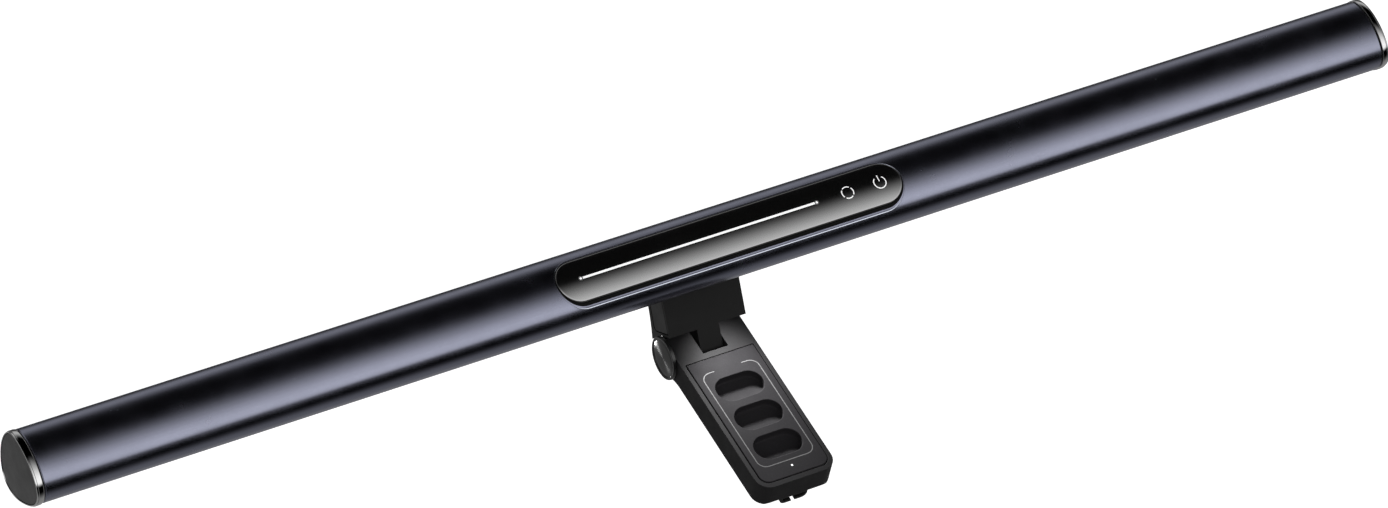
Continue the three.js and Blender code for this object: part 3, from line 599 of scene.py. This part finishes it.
# The even light along the bar, and the lean towards X where it starts and is all there is.
END_LIGHT = 0.45
END_START, END_FULL = 0.75, 0.95


def studio():
    scene = bpy.context.scene
    scene.view_settings.view_transform = "Standard"
    world = bpy.data.worlds.new("studio")
    scene.world = world
    world.use_nodes = True
    tree = world.node_tree
    tree.nodes.clear()

    def node(kind, **settings):
        made = tree.nodes.new(kind)
        for key, value in settings.items():
            setattr(made, key, value)
        return made

    direction = node("ShaderNodeTexCoord").outputs["Generated"]
    parts = node("ShaderNodeSeparateXYZ")
    tree.links.new(direction, parts.inputs[0])
    ahead = node("ShaderNodeMath", operation="MULTIPLY")
    tree.links.new(parts.outputs["Y"], ahead.inputs[0])
    ahead.inputs[1].default_value = -1
    turn = node("ShaderNodeMath", operation="ARCTAN2")
    tree.links.new(parts.outputs["Z"], turn.inputs[0])
    tree.links.new(ahead.outputs[0], turn.inputs[1])
    total = None
    for (start, full, fade, end), strength in SOFT_LIGHTS.values():
        rise = node("ShaderNodeMapRange", interpolation_type="SMOOTHSTEP")
        fall = node("ShaderNodeMapRange", interpolation_type="SMOOTHSTEP")
        for ramp, edges, levels in ((rise, (start, full), (0, strength)),
                                    (fall, (fade, end), (1, 0))):
            tree.links.new(turn.outputs[0], ramp.inputs["Value"])
            ramp.inputs["From Min"].default_value = math.radians(edges[0])
            ramp.inputs["From Max"].default_value = math.radians(edges[1])
            ramp.inputs["To Min"].default_value, ramp.inputs["To Max"].default_value = levels
        band = node("ShaderNodeMath", operation="MULTIPLY")
        tree.links.new(rise.outputs["Result"], band.inputs[0])
        tree.links.new(fall.outputs["Result"], band.inputs[1])
        if total is None:
            total = band
            continue
        added = node("ShaderNodeMath", operation="ADD")
        tree.links.new(total.outputs[0], added.inputs[0])
        tree.links.new(band.outputs[0], added.inputs[1])
        total = added
    # Straight along the bar the angle means little, so the light there is even.
    along = node("ShaderNodeMath", operation="ABSOLUTE")
    tree.links.new(parts.outputs["X"], along.inputs[0])
    endwise = node("ShaderNodeMapRange", interpolation_type="SMOOTHSTEP")
    endwise.inputs["From Min"].default_value = END_START
    endwise.inputs["From Max"].default_value = END_FULL
    tree.links.new(along.outputs[0], endwise.inputs["Value"])
    even = node("ShaderNodeMix", data_type="FLOAT")
    tree.links.new(endwise.outputs["Result"], even.inputs["Factor"])
    tree.links.new(total.outputs[0], even.inputs["A"])
    even.inputs["B"].default_value = END_LIGHT
    seen = node("ShaderNodeLightPath").outputs["Is Camera Ray"]
    softboxes, backdrop = node("ShaderNodeBackground"), node("ShaderNodeBackground")
    tree.links.new(even.outputs["Result"], softboxes.inputs["Strength"])
    softboxes.inputs["Color"].default_value = (1, 1, 1, 1)
    backdrop.inputs["Color"].default_value = (1, 1, 1, 1)
    both, out = node("ShaderNodeMixShader"), node("ShaderNodeOutputWorld")
    tree.links.new(seen, both.inputs[0])
    tree.links.new(softboxes.outputs[0], both.inputs[1])
    tree.links.new(backdrop.outputs[0], both.inputs[2])
    tree.links.new(both.outputs[0], out.inputs[0])


def lamp_on(name, kind, place, target, power, pieces, **settings):
    """A light that shines on, and is shaded by, the given pieces only."""
    data = bpy.data.lights.new(name, kind)
    data.energy = power
    for key, value in settings.items():
        setattr(data, key, value)
    made = bpy.data.objects.new(name, data)
    aim = (Vector(target) - Vector(place)).to_track_quat("-Z", "Y")
    made.matrix_world = Matrix.Translation(Vector(place) * MM) @ aim.to_matrix().to_4x4()
    made.visible_camera = False
    bpy.context.scene.collection.objects.link(made)
    group = bpy.data.collections.new(name)
    for each in pieces:
        group.objects.link(each)
    made.light_linking.receiver_collection = group
    made.light_linking.blocker_collection = group
    return made


# The spot's place and aim are in the leg's own frame.  Powers are in watts.
SPOT_PLACE, SPOT_AIM = (6, LEG_FRONT - 26, 26), (0, LEG_FRONT, -29)
SPOT_POWER, SPOT_CONE, SPOT_RADIUS = 0.85, math.radians(46), 4
GLINT_DIRECTION, GLINT_DISTANCE = (-0.242, 0.961, -0.146), 300
GLINT_POWER, GLINT_WIDTH = 0.3, 30


def accents():
    """A soft-edged spot from above on the leg, and a small softbox that the disc catches."""
    leg = [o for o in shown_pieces() if body_of(o) == ["leg"]]
    place = LEG_PLACE @ Vector(SPOT_PLACE)
    aim = LEG_PLACE @ Vector(SPOT_AIM)
    lamp_on("leg_spot", "SPOT", place, aim, SPOT_POWER, leg, spot_size=SPOT_CONE,
            spot_blend=1.0, shadow_soft_size=SPOT_RADIUS * MM)
    disc = [o for o in leg if o.name == "hinge_disc"]
    centre = Vector((DISC_FACE, HINGE_Y, HINGE_Z))
    source = centre + Vector(GLINT_DIRECTION) * GLINT_DISTANCE
    lamp_on("disc_glint", "AREA", source, centre, GLINT_POWER, disc,
            shape="DISK", size=GLINT_WIDTH * MM)


# ------------------------------------------------------------------ lamp bar


def bar_body():
    """The extrusion: a hollow section, open below, with small chamfers at both ends."""
    steps = 220
    chamfer = 0.25
    profile = [(-BODY_END, -chamfer), (-BODY_END + chamfer, 0), (BODY_END - chamfer, 0),
               (BODY_END, -chamfer), (BODY_END, -BAR_WALL), (-BODY_END, -BAR_WALL)]
    starts = {offset: slot_angle(LENS_HALF, offset) for _, offset in profile}
    points, faces = [], []
    for i in range(steps + 1):
        for x, offset in profile:
            start, end = starts[offset] - TAU, 3 * math.pi - starts[offset]
            y, z = section(start + (end - start) * i / steps, offset)
            points.append((x, y, z))
    n = len(profile)
    for i in range(steps):
        for k in range(n):
            j = (k + 1) % n
            faces.append((i * n + k, i * n + j, (i + 1) * n + j, (i + 1) * n + k))
    faces.append(tuple(range(n)))
    faces.append(tuple(steps * n + k for k in range(n)))
    body = make("bar_body", points, faces, ALUMINIUM, RAW)
    for face in body.data.polygons:
        centre = face.center / MM
        face.material_index = 0 if skin_distance(centre.y, centre.z) > -0.3 else 1

    middle = (PANEL_X, 0)
    pocket = stadium("pocket", PANEL_HALF_LENGTH + 0.3, PANEL_HALF_WIDTH + 0.3,
                     [(0, -1.15), (0, 1.0)], centre=middle)
    window = stadium("window", PANEL_HALF_LENGTH - 4, PANEL_HALF_WIDTH - 2.2,
                     [(0, -2.6), (0, 0.5)], centre=middle)
    inlet = prism("inlet", stadium_outline(6.7, 3.5, INLET_X, INLET_Z), "y", -7.4, -1.4)
    holes = [prism("hole", circle(side * 8.5, 8.9, 1.65, 24), "y", -7.4, -1.4) for side in (-1, 1)]
    for cutter in (pocket, window, inlet, *holes):
        cutter.data.materials.append(ALUMINIUM)
    combine(body, [pocket, window, inlet, *holes])
    skin_normals(body)
    install(body, "lamp", "anodised_aluminium", "bar_extrusion")


def stadium_outline(half_length, half_width, cx=0.0, cy=0.0, steps=24):
    straight = half_length - half_width
    return (arc(cx + straight, cy, half_width, -math.pi / 2, math.pi / 2, steps)
            + arc(cx - straight, cy, half_width, math.pi / 2, 1.5 * math.pi, steps))


def stadium(name, half_length, half_width, profile, *materials, centre=(0.0, 0.0), rows=14):
    """A stadium that follows the bar's skin.  The profile holds (inset, offset) points from
    the lower edge to the upper edge; both faces are closed with rows that keep the curve."""
    def ring(inset, offset):
        return [on_panel(u, w, offset) for u, w in stadium_outline(
            half_length - inset, max(half_width - inset, 0.01), *centre)]
    first, last = profile[0], profile[-1]
    inward = [(half_width - first[0] - 0.02) * (rows - i) / rows + first[0] for i in range(rows)]
    outward = [(half_width - last[0] - 0.02) * (i + 1) / rows + last[0] for i in range(rows)]
    rings = ([ring(inset, first[1]) for inset in inward]
             + [ring(inset, offset) for inset, offset in profile]
             + [ring(inset, last[1]) for inset in outward])
    return loft(name, rings, *materials)


def touch_panel():
    edge = 0.3
    corner = [(edge - edge * math.cos(a), PANEL_PROUD - edge + edge * math.sin(a))
              for a in (math.pi / 2 * i / 5 for i in range(6))]
    profile = [(0.15, PANEL_BOTTOM), (0, PANEL_BOTTOM + 0.15), *corner]
    panel = stadium("panel_glass", PANEL_HALF_LENGTH, PANEL_HALF_WIDTH, profile, PANEL_BLACK,
                    centre=(PANEL_X, 0), rows=18)
    shade(panel, 40)
    install(panel, "lamp", "touch_panel_gloss", "touch_panel")

    # A black gasket and a narrow land round the panel, with a bright-cut outer edge.
    # Both are wider along the lower edge.
    def ring(ends, sides, shift, offset):
        outline = stadium_outline(PANEL_HALF_LENGTH + ends, PANEL_HALF_WIDTH + sides,
                                  PANEL_X, shift)
        return [on_panel(u, w, offset) for u, w in outline]
    rings = [ring(0.15, 0.15, 0, -0.5), ring(0.15, 0.15, 0, 0.02), ring(0.34, 0.68, -0.34, 0.02),
             ring(0.36, 0.7, -0.34, -0.04), ring(0.42, 0.98, -0.5, -0.03),
             ring(0.54, 1.24, -0.54, 0.06), ring(0.62, 1.32, -0.54, 0.05),
             ring(0.62, 1.32, -0.54, -0.5)]
    land = loft("panel_land", rings, ALUMINIUM, CUT_EDGE, GASKET, caps=False)
    finishes = (2, 2, 2, 0, 1, 0, 0)
    count = len(rings[0])
    for face in land.data.polygons:
        face.material_index = finishes[min(face.index // count, len(finishes) - 1)]
    shade(land, 20)
    install(land, "lamp", "anodised_aluminium")


def inlays():
    """Slider line and touch symbols, printed a hair proud of the panel."""
    low, high = PANEL_PROUD - 0.06, PANEL_PROUD + 0.015
    line = stadium("slider_line", SLIDER_HALF, 0.33, [(0, low), (0, high)], INK_WHITE_PAINTED_GLOW,
                   centre=(SLIDER_X, 0), rows=2)
    marks = [line]
    for i, side in enumerate((-1, 1)):
        marks.append(stadium(f"slider_dot_{i + 1}", 0.72, 0.70, [(0, low), (0, high + 0.01)], INK_GREY,
                             centre=(SLIDER_X + side * SLIDER_HALF, 0), rows=2))
        marks.append(stadium(f"slider_pip_{i + 1}", 0.36, 0.34, [(0, low), (0, high + 0.02)], INK_WHITE_PAINTED_GLOW,
                             centre=(SLIDER_X + side * SLIDER_HALF, 0), rows=2))

    def stroke(name, centre, radius, start, end, width=0.3):
        steps = 28
        rings = []
        for i in range(steps + 1):
            a = math.radians(start + (end - start) * i / steps)
            rings.append([on_panel(centre + r * math.cos(a), r * math.sin(a), h) for r, h in (
                (radius - width / 2, low), (radius + width / 2, low),
                (radius + width / 2, high), (radius - width / 2, high))])
        return loft(name, rings, INK_WHITE_PAINTED_GLOW)
    tone_radius, tone_gap = 1.85, 8
    for i in range(4):
        start = 45 + 90 * i
        marks.append(stroke(f"tone_icon_{i + 1}", TONE_X, tone_radius,
                            start + tone_gap, start + 90 - tone_gap))
    power_radius, power_gap = 1.9, 38
    marks.append(stroke("power_icon", POWER_X, power_radius, 90 + power_gap, 450 - power_gap))
    half = 0.14
    edges = ((-half, low), (half, low), (half, high), (-half, high))
    bar = [[on_panel(POWER_X + u, w, h) for u, h in edges] for w in (0.3, 0.9, 1.6, 2.35)]
    marks.append(loft("power_icon_bar", bar, INK_WHITE_PAINTED_GLOW))
    for mark in marks:
        shade(mark)
        install(mark, "lamp", "light_guide")


def lens():
    """Opal diffuser in the slot of the underside."""
    edge = LENS_HALF - 0.3
    start = slot_angle(edge, 0)
    sweep = [3 * math.pi - start + (2 * start - 3 * math.pi) * i / 48 for i in range(49)]
    under = [section(a, -0.1) for a in sweep]
    ledge = WIDEST_Z - BELLY_DEPTH + BAR_WALL + 0.5
    outline = [(BAR_Y - edge, ledge), *under, (BAR_Y + edge, ledge), (BAR_Y + edge - 1.4, ledge),
               (BAR_Y + edge - 1.4, ledge - 0.9), (BAR_Y - edge + 1.4, ledge - 0.9),
               (BAR_Y - edge + 1.4, ledge)]
    made = prism("opal_lens", outline, "x", -BODY_END + 0.1, BODY_END - 0.1, LENS)
    shade(made, 25)
    install(made, "lamp", "diffuser", "diffuser_lens")


def swept(name, profile, *materials, steps=180):
    """Carries (x, offset) points round the bar's section; both ends are closed."""
    rings = [[(x, *section(TAU * i / steps, offset)) for i in range(steps)] for x, offset in profile]
    return loft(name, rings, *materials)


def end_caps():
    for label, side in SIDES:
        ring = swept(f"cap_ring_{label}", [(side * x, offset) for x, offset in (
            (223.6, -0.45), (224.88, -0.4), (224.97, -0.36), (225, -0.3), (225, -0.2), (224.95, -0.06),
            (224.8, 0.03), (224.7, 0.03), (224.66, -0.1), (224.5, -0.1), (224.47, 0.14),
            (224.38, 0.2), (223.1, 0.2), (222.96, 0.16), (222.9, 0.06))],
            RING_CHROME)
        shade(ring, 50)
        install(ring, "lamp", "end_ring_gloss", f"end_ring_{label}")
        plate = swept(f"cap_plate_{label}", [(side * x, offset) for x, offset in (
            (223.95, -0.55), (224.68, -0.52), (224.78, -0.56), (224.83, -0.63), (224.85, -0.75))],
            CAP_PLASTIC)
        shade(plate, 40)
        install(plate, "lamp", "end_plate_plastic", f"end_plate_{label}")


# ------------------------------------------------------------------ power inlet


def power_inlet():
    rear = -3.4
    bezel = prism("inlet_bezel", stadium_outline(6.4, 3.2, INLET_X, INLET_Z),
                  "y", rear - 1.3, rear - 0.1, BRACKET_PLASTIC)
    opening = prism("opening", stadium_outline(4.8, 1.95, INLET_X, INLET_Z), "y", rear - 3, rear + 1)
    combine(bezel, [opening])
    soften(bezel, 0.25)
    install(bezel, "lamp", "end_plate_plastic", "usb_bezel")
    shell = prism("inlet_shell", stadium_outline(4.5, 1.65, INLET_X, INLET_Z),
                  "y", rear - 7.6, rear - 0.4, STEEL)
    mouth = prism("mouth", stadium_outline(4.2, 1.35, INLET_X, INLET_Z), "y", rear - 6.6, rear + 1)
    combine(shell, [mouth])
    soften(shell, 0.06, 2)
    install(shell, "lamp", "socket_steel", "usb_c_socket")
    blade = rounded(INLET_X - 3.3, INLET_X + 3.3, INLET_Z - 0.35, INLET_Z + 0.35, 0.1, steps=3)
    tongue = prism("inlet_tongue", blade, "y", rear - 6.7, rear - 1.6, BRACKET_PLASTIC)
    install(shade(tongue), "lamp", "socket_steel")
    for i in range(8):
        x = INLET_X - 2.45 + 0.7 * i
        strip = rounded(x - 0.14, x + 0.14, INLET_Z + 0.3, INLET_Z + 0.38, 0.02, steps=2)
        contact = prism(f"inlet_contact_{i + 1}", strip, "y", rear - 6, rear - 2, STEEL)
        install(shade(contact), "lamp", "socket_steel")


# ------------------------------------------------------------------ bracket


def bracket():
    top, lip_front, lip_rear, lip_bottom = 10.4, -6.4, -4.4, -4.6
    neck_front, neck_rear, neck_bottom, heel_y, heel_z = 4.1, 14.7, -20.1, 16.1, -22.3
    outline = [(lip_front, lip_bottom), (lip_rear, lip_bottom), (lip_rear, 1), (neck_front, 1),
               (neck_front, neck_bottom), (HINGE_Y, neck_bottom), (heel_y, heel_z)]
    outline += curve((heel_y, heel_z), (neck_rear + 0.1, -17), (neck_rear, -12), 12)
    outline += arc(neck_rear - 5, top - 5, 5, 0, math.pi / 2, 16) + [(lip_front, top)]
    body = prism("bracket_body", outline, "x", -BRACKET_HALF, BRACKET_HALF, BRACKET_PLASTIC)
    clearance = prism("clearance", [section(TAU * i / 160, 0.3) for i in range(160)], "x", -20, 20)
    saddle = prism("saddle", circle(HINGE_Y, HINGE_Z, 6.8, 96), "x", -20, 20)
    cover = [(4.6, -19.4), (12.3, -19.4), (13.4, -18.3), (13.4, 4.3), (11.4, 7.3), (4.6, 7.3)]
    pockets = [prism("pocket", cover, "x", *sorted((side * (BRACKET_HALF - 1.5), side * 14)))
               for side in (-1, 1)]
    rear = prism("rear", rounded(-9.5, 9.5, -15, 3.4, 1.5), "y", neck_rear - 1.5, 18)
    combine(body, [clearance, saddle, *pockets, rear])
    radius, root = 5.1, neck_bottom + 1
    knuckle = [(HINGE_Y - radius, root), *arc(HINGE_Y, HINGE_Z, radius, math.pi, TAU, 40),
               (HINGE_Y + radius, root)]
    tongue = prism("tongue", knuckle, "x", -3.7, 3.7)
    combine(body, [tongue], "UNION")
    combine(body, [prism("bore", circle(HINGE_Y, HINGE_Z, 2.3, 40), "x", -6, 6)])
    soften(body, 0.3, 3)
    install(body, "lamp", "bracket_plastic", "bracket")

    for label, side in SIDES:
        flat = [(4.9, -19.1), (12.3, -19.1), (13.1, -18.3), (13.1, 4), (11.1, 7), (4.9, 7)]
        cover = prism(f"side_cover_{label}", flat, "x",
                      *sorted((side * (BRACKET_HALF - 1.2), side * BRACKET_HALF)), COVER_PLASTIC)
        soften(cover, 0.22, 3)
        install(cover, "lamp", "bracket_plastic", f"neck_side_cover_{label}")

    panel = prism("rear_cover", rounded(-9.2, 9.2, -14.7, 3.1, 1.2), "y", neck_rear - 1.2, neck_rear,
                  BRACKET_PLASTIC)
    seats = [prism("seat", circle(0, z, radius, 40), "y", y, 20)
             for z in COVER_SCREW_Z for radius, y in ((1.1, 10), (1.9, neck_rear - 0.7))]
    ribs = [prism("rib", rounded(-6.5, 6.5, z - 0.35, z + 0.35, 0.3, steps=4), "y", neck_rear - 0.3, 20)
            for z in (-8, -6.6, -5.2, -3.8)]
    combine(panel, [*seats, *ribs])
    soften(panel, 0.2, 3)
    install(panel, "lamp", "bracket_plastic", "neck_rear_cover")


def silicone_pads():
    """Ribbed pads on the seat and the lip."""
    half = 11.7
    low, high = -3.3, 3.9
    outline = [(low, 0.8), (low, 0)]
    grooves = 5
    pitch = (high - low) / (grooves + 1)
    for i in range(grooves):
        y = low + pitch * (i + 1)
        outline += [(y - 0.22, 0), (y - 0.12, 0.22), (y + 0.12, 0.22), (y + 0.22, 0)]
    outline += [(high, 0), (high, 0.8)]
    seat = prism("seat_rubber", outline, "x", -half, half, SEAT_SILICONE)
    soften(seat, 0.08, 2, 25)
    install(seat, "lamp", "silicone", "seat_pad")
    low, high = -4.3, -0.3
    outline = [(-4.3, low), (-3.6, low)]
    for i in range(3):
        z = low + 1.0 * (i + 1)
        outline += [(-3.6, z - 0.22), (-3.8, z - 0.12), (-3.8, z + 0.12), (-3.6, z + 0.22)]
    outline += [(-3.6, high), (-4.3, high)]
    lip = prism("lip_rubber", outline, "x", -half, half, SEAT_SILICONE)
    soften(lip, 0.08, 2, 25)
    install(lip, "lamp", "silicone", "lip_pad")


def machine_screw(name, head_radius, head, shank_radius, length, material):
    """A screw along X with its head at +X and a cross recess, its seat at the origin."""
    profile = [(0.0, -length), (shank_radius * 0.7, -length), (shank_radius, -length + 0.5),
               (shank_radius, 0), (head_radius, 0), (head_radius, head * 0.45),
               (head_radius * 0.93, head * 0.75), (head_radius * 0.75, head * 0.93),
               (head_radius * 0.5, head), (0.0, head)]
    profile = [(max(r, 0.01), x) for r, x in profile]
    made = lathe(name, profile, 36, material)
    arm, thick, depth = head_radius * 0.62, head_radius * 0.16, head * 0.75
    slots = [prism("slot", rounded(-a, a, -b, b, thick * 0.4, steps=2), "x", head - depth, head + 1)
             for a, b in ((arm, thick), (thick, arm))]
    for slot in slots:
        slot.data.materials.append(material)
    combine(made, slots)
    return shade(made, 35)


# ------------------------------------------------------------------ hinge and leg


def hinge_caps():
    """A bright-turned disc on the left end of the hinge, a flush plug on the right one."""
    disc = lathe("hinge_disc", [(r, -x) for r, x in (
        (0.01, 13.3), (5.7, 13.3), (5.7, 13.74), (5.62, 13.76), (4.2, 13.79), (2.8, 13.82),
        (1.4, 13.84), (0.01, 13.845))], 96, SPUN_BLACK)
    rim = lathe("hinge_rim", [(r, -x) for r, x in (
        (0.01, 11.8), (4.0, 11.8), (4.1, 11.9), (4.1, 12.98), (6.74, 12.98),
        (6.76, 13.05), (6.76, 13.22), (6.7, 13.3), (6.7, 13.75),
        (6.63, 13.9), (6.5, 13.98), (6.35, 14.0), (6.05, 13.96), (5.82, 13.82), (5.72, 13.7),
        (5.72, 13.4), (0.01, 13.4))], 96, RIM_BLACK)
    plug = lathe("hinge_plug", [
        (0.01, 11.8), (4.0, 11.8), (4.1, 11.9), (4.1, 12.6), (4.0, 12.8), (3.8, 12.9), (3.3, 12.9),
        (3.15, 12.75), (3.0, 12.7), (0.01, 12.7)], 72, LEG_PLASTIC)
    for each in (disc, rim, plug):
        shade(each, 40)
        place_leg(each)
    install(rim, "leg", "hinge_cap_black", "hinge_cap_left")
    install(disc, "leg", "hinge_cap_black")
    install(plug, "leg", "hinge_cap_black", "hinge_cap_right")


def leg_side_outline():
    flat_top = math.sqrt(BARREL_RADIUS ** 2 - LEG_FRONT ** 2)
    meet = -0.7
    join = (BARREL_RADIUS * math.cos(meet), BARREL_RADIUS * math.sin(meet))
    end = math.pi - math.atan2(flat_top, -LEG_FRONT)
    return ([(LEG_FRONT, -LEG_LENGTH), (LEG_BACK - 0.6, -LEG_LENGTH), (LEG_BACK, -LEG_LENGTH + 0.6),
             (LEG_BACK, -9)]
            + curve((LEG_BACK, -9), (LEG_BACK + 0.3, -5.9), join, 12)
            + arc(0, 0, BARREL_RADIUS, meet, end, 56)[1:])


def leg_shell():
    slab = prism("leg_body", leg_side_outline(), "x", -LEG_HALF, LEG_HALF, LEG_PLASTIC)
    front = prism("front", rounded(-LEG_HALF, LEG_HALF, -LEG_LENGTH, 9, 4.6, 0.1, 18), "y", -9, 9)
    combine(slab, [front], "INTERSECT")
    notch = prism("notch", [(-9, -5.8), (9, -5.8), (9, 9), (-9, 9)], "x", -4.2, 4.2)
    pocket = prism("pocket", rounded(-11.5, 11.5, -55.75, -7.9, 3.2, 0.4, 12), "y", -9, LEG_FRONT + 3.2)
    rear = prism("rear", rounded(-11.2, 11.2, -55.4, -12, 3.2, 2, 12), "y", LEG_BACK - 1.6, 9)
    bores = [prism("bore", circle(0, 0, 2.3, 48), "x", -14, 14)]
    for side in (-1, 1):
        bores.append(prism("bore", circle(0, 0, 4.4, 64), "x", *sorted((side * 8.3, side * 14))))
        bores.append(prism("bore", circle(0, 0, 4.2, 64), "x", *sorted((side * 3, side * 5))))
    combine(slab, [notch, pocket, rear, *bores])
    soften(slab, 0.3, 3)
    place_leg(slab)
    install(slab, "leg", "leg_plastic", "leg_shell")

    cover = prism("leg_cover", rounded(-10.9, 10.9, -55.1, -12.3, 2.9, 1.7, 12),
                  "y", 1.85, 3.25, LEG_PLASTIC)
    seats = [prism("seat", circle(x, z, radius, 40), "y", y, 9)
             for x in LEG_SCREW_X for z in LEG_SCREW_Z for radius, y in ((1.15, 0), (1.95, 2.45))]
    ribs = [prism("rib", rounded(-7, 7, z - 0.4, z + 0.4, 0.35, steps=4), "y", 2.95, 9)
            for z in (-26, -29, -32, -35, -38, -41)]
    combine(cover, [*seats, *ribs])
    soften(cover, 0.2, 3)
    place_leg(cover)
    install(cover, "leg", "leg_plastic", "leg_back_cover")


def leg_pad():
    """Soft pad with three finger recesses, a printed frame and a small white dot with a painted glow.
    """
    outline = rounded(-11.25, 11.25, -55.5, -8.15, 3, 0.3, 12)
    pad = prism("leg_rubber", outline, "y", PAD_FACE, -1.8, PAD_SILICONE)
    cutters = []
    base = LEG_FRONT + 2.5
    wall = ((0, -8), (0, base - 0.4), (0.12, base - 0.12), (0.4, base), (4.3, base))
    first_recess, recess_pitch = -20.6, 11.6
    for i in range(3):
        z = first_recess - recess_pitch * i
        rings = [[(x, y, s) for x, s in stadium_outline(7.65 - inset, 4.35 - inset, 0, z, 20)]
                 for inset, y in wall]
        cutters.append(loft("recess", rings))
    combine(pad, cutters)
    soften(pad, 0.22, 3, 40)
    place_leg(pad)
    install(pad, "leg", "silicone", "leg_pad")

    half, top, bottom, radius, width = 9.2, -13.1, -50.2, 2.8, 0.28
    quarter = math.pi / 2
    gap = 4.6
    path = ([(-gap, top)] + arc(-half + radius, top - radius, radius, quarter, 2 * quarter, 10)
            + arc(-half + radius, bottom + radius, radius, 2 * quarter, 3 * quarter, 10)
            + arc(half - radius, bottom + radius, radius, 3 * quarter, 4 * quarter, 10)
            + arc(half - radius, top - radius, radius, 0, quarter, 10) + [(gap, top)])
    under, proud = PAD_FACE + 0.05, PAD_FACE - 0.012
    edges = ((-1, under), (1, under), (1, proud), (-1, proud))
    rings = []
    for i, (x, z) in enumerate(path):
        before, after = path[max(i - 1, 0)], path[min(i + 1, len(path) - 1)]
        along = Vector((after[0] - before[0], after[1] - before[1])).normalized()
        across = Vector((-along.y, along.x)) * width / 2
        rings.append([(x + across.x * k, y, z + across.y * k) for k, y in edges])
    line = loft("pad_frame_line", rings, INK_GREY)
    # A small white dot on the pad, drawn in the white ink that glows with painted light.
    dot = prism("pad_dot", circle(0, -52.3, 0.3, 32), "y", PAD_FACE - 0.02, PAD_FACE + 0.05, INK_WHITE_PAINTED_GLOW)
    for mark in (line, dot):
        shade(mark)
        place_leg(mark)
        install(mark, "leg", "silicone")


def cable_clip():
    """Two curved prongs on the lower back that hold the power lead."""
    inner, outer, half = 3.6, 6.7, 4.6
    right = [(0.5, outer), (half - 2.2, outer)]
    right += curve((half - 2.2, outer), (half, outer), (half, outer - 2), 8)
    right += [(half, inner)]
    inside = [(half - 0.9, inner + 0.8), (half - 0.9, outer - 1.9)]
    inside += curve((half - 0.9, outer - 1.9), (half - 0.9, outer - 0.9), (half - 2.2, outer - 0.9), 8)
    inside += [(0.8, outer - 0.9)]
    left = [(-x, y) for x, y in reversed(right)]
    outline = right + left + [(-x, y) for x, y in reversed(inside)] + inside
    clip = prism("lead_clip", outline, "z", -LEG_LENGTH + 0.8, -LEG_LENGTH + 5.8, BRACKET_PLASTIC)
    soften(clip, 0.18, 3)
    place_leg(clip)
    install(clip, "leg", "bracket_plastic", "cable_clip")


def fasteners():
    for i, z in enumerate(COVER_SCREW_Z):
        made = machine_screw(f"cover_screw_{i + 1}", 1.6, 0.5, 0.8, 5, BLACK_SCREW)
        place = Matrix.Translation(Vector((0, 14.1, z)) * MM)
        made.data.transform(place @ Matrix.Rotation(math.pi / 2, 4, "Z"))
        install(made, "lamp", "screw_steel", f"rear_cover_screw_{i + 1}")
    number = 0
    for z in LEG_SCREW_Z:
        for x in LEG_SCREW_X:
            number += 1
            made = machine_screw(f"leg_fixing_{number}", 1.65, 0.6, 0.8, 3.1, BLACK_SCREW)
            turn = Matrix.Rotation(math.pi / 2, 4, "Z") @ Matrix.Rotation(0.4 * number, 4, "X")
            made.data.transform(Matrix.Translation(Vector((x, LEG_BACK - 0.75, z)) * MM) @ turn)
            place_leg(made)
            install(made, "leg", "screw_steel", f"leg_screw_{number}")


# ------------------------------------------------------------------ carried-over CAD pieces

CARRIED = {
    RAW: ["led_carrier"],
    BOARD: ["led_board", "touch_board", "driver_board"],
    WHITE_PLASTIC: ["reflector", "slider_light_guide"],
    CAP_PLASTIC: ["end_plug_left", "end_plug_right"],
    STEEL: ["mount_plate", "mount_screw_1", "mount_screw_2",
            "end_screw_1", "end_screw_2", "end_screw_3", "end_screw_4",
            "hinge_shaft", "thrust_washer", "friction_washer_left", "friction_washer_right",
            "spring_washer", "hinge_nut", "counterweight"],
}


def carried_over():
    for material, names in CARRIED.items():
        for name in names:
            slots = frame["nodes"][name].data.materials
            slots.clear()
            slots.append(material)


camera()
floor()
studio()
bar_body()
touch_panel()
inlays()
lens()
end_caps()
power_inlet()
bracket()
silicone_pads()
hinge_caps()
leg_shell()
leg_pad()
cable_clip()
fasteners()
carried_over()
accents()
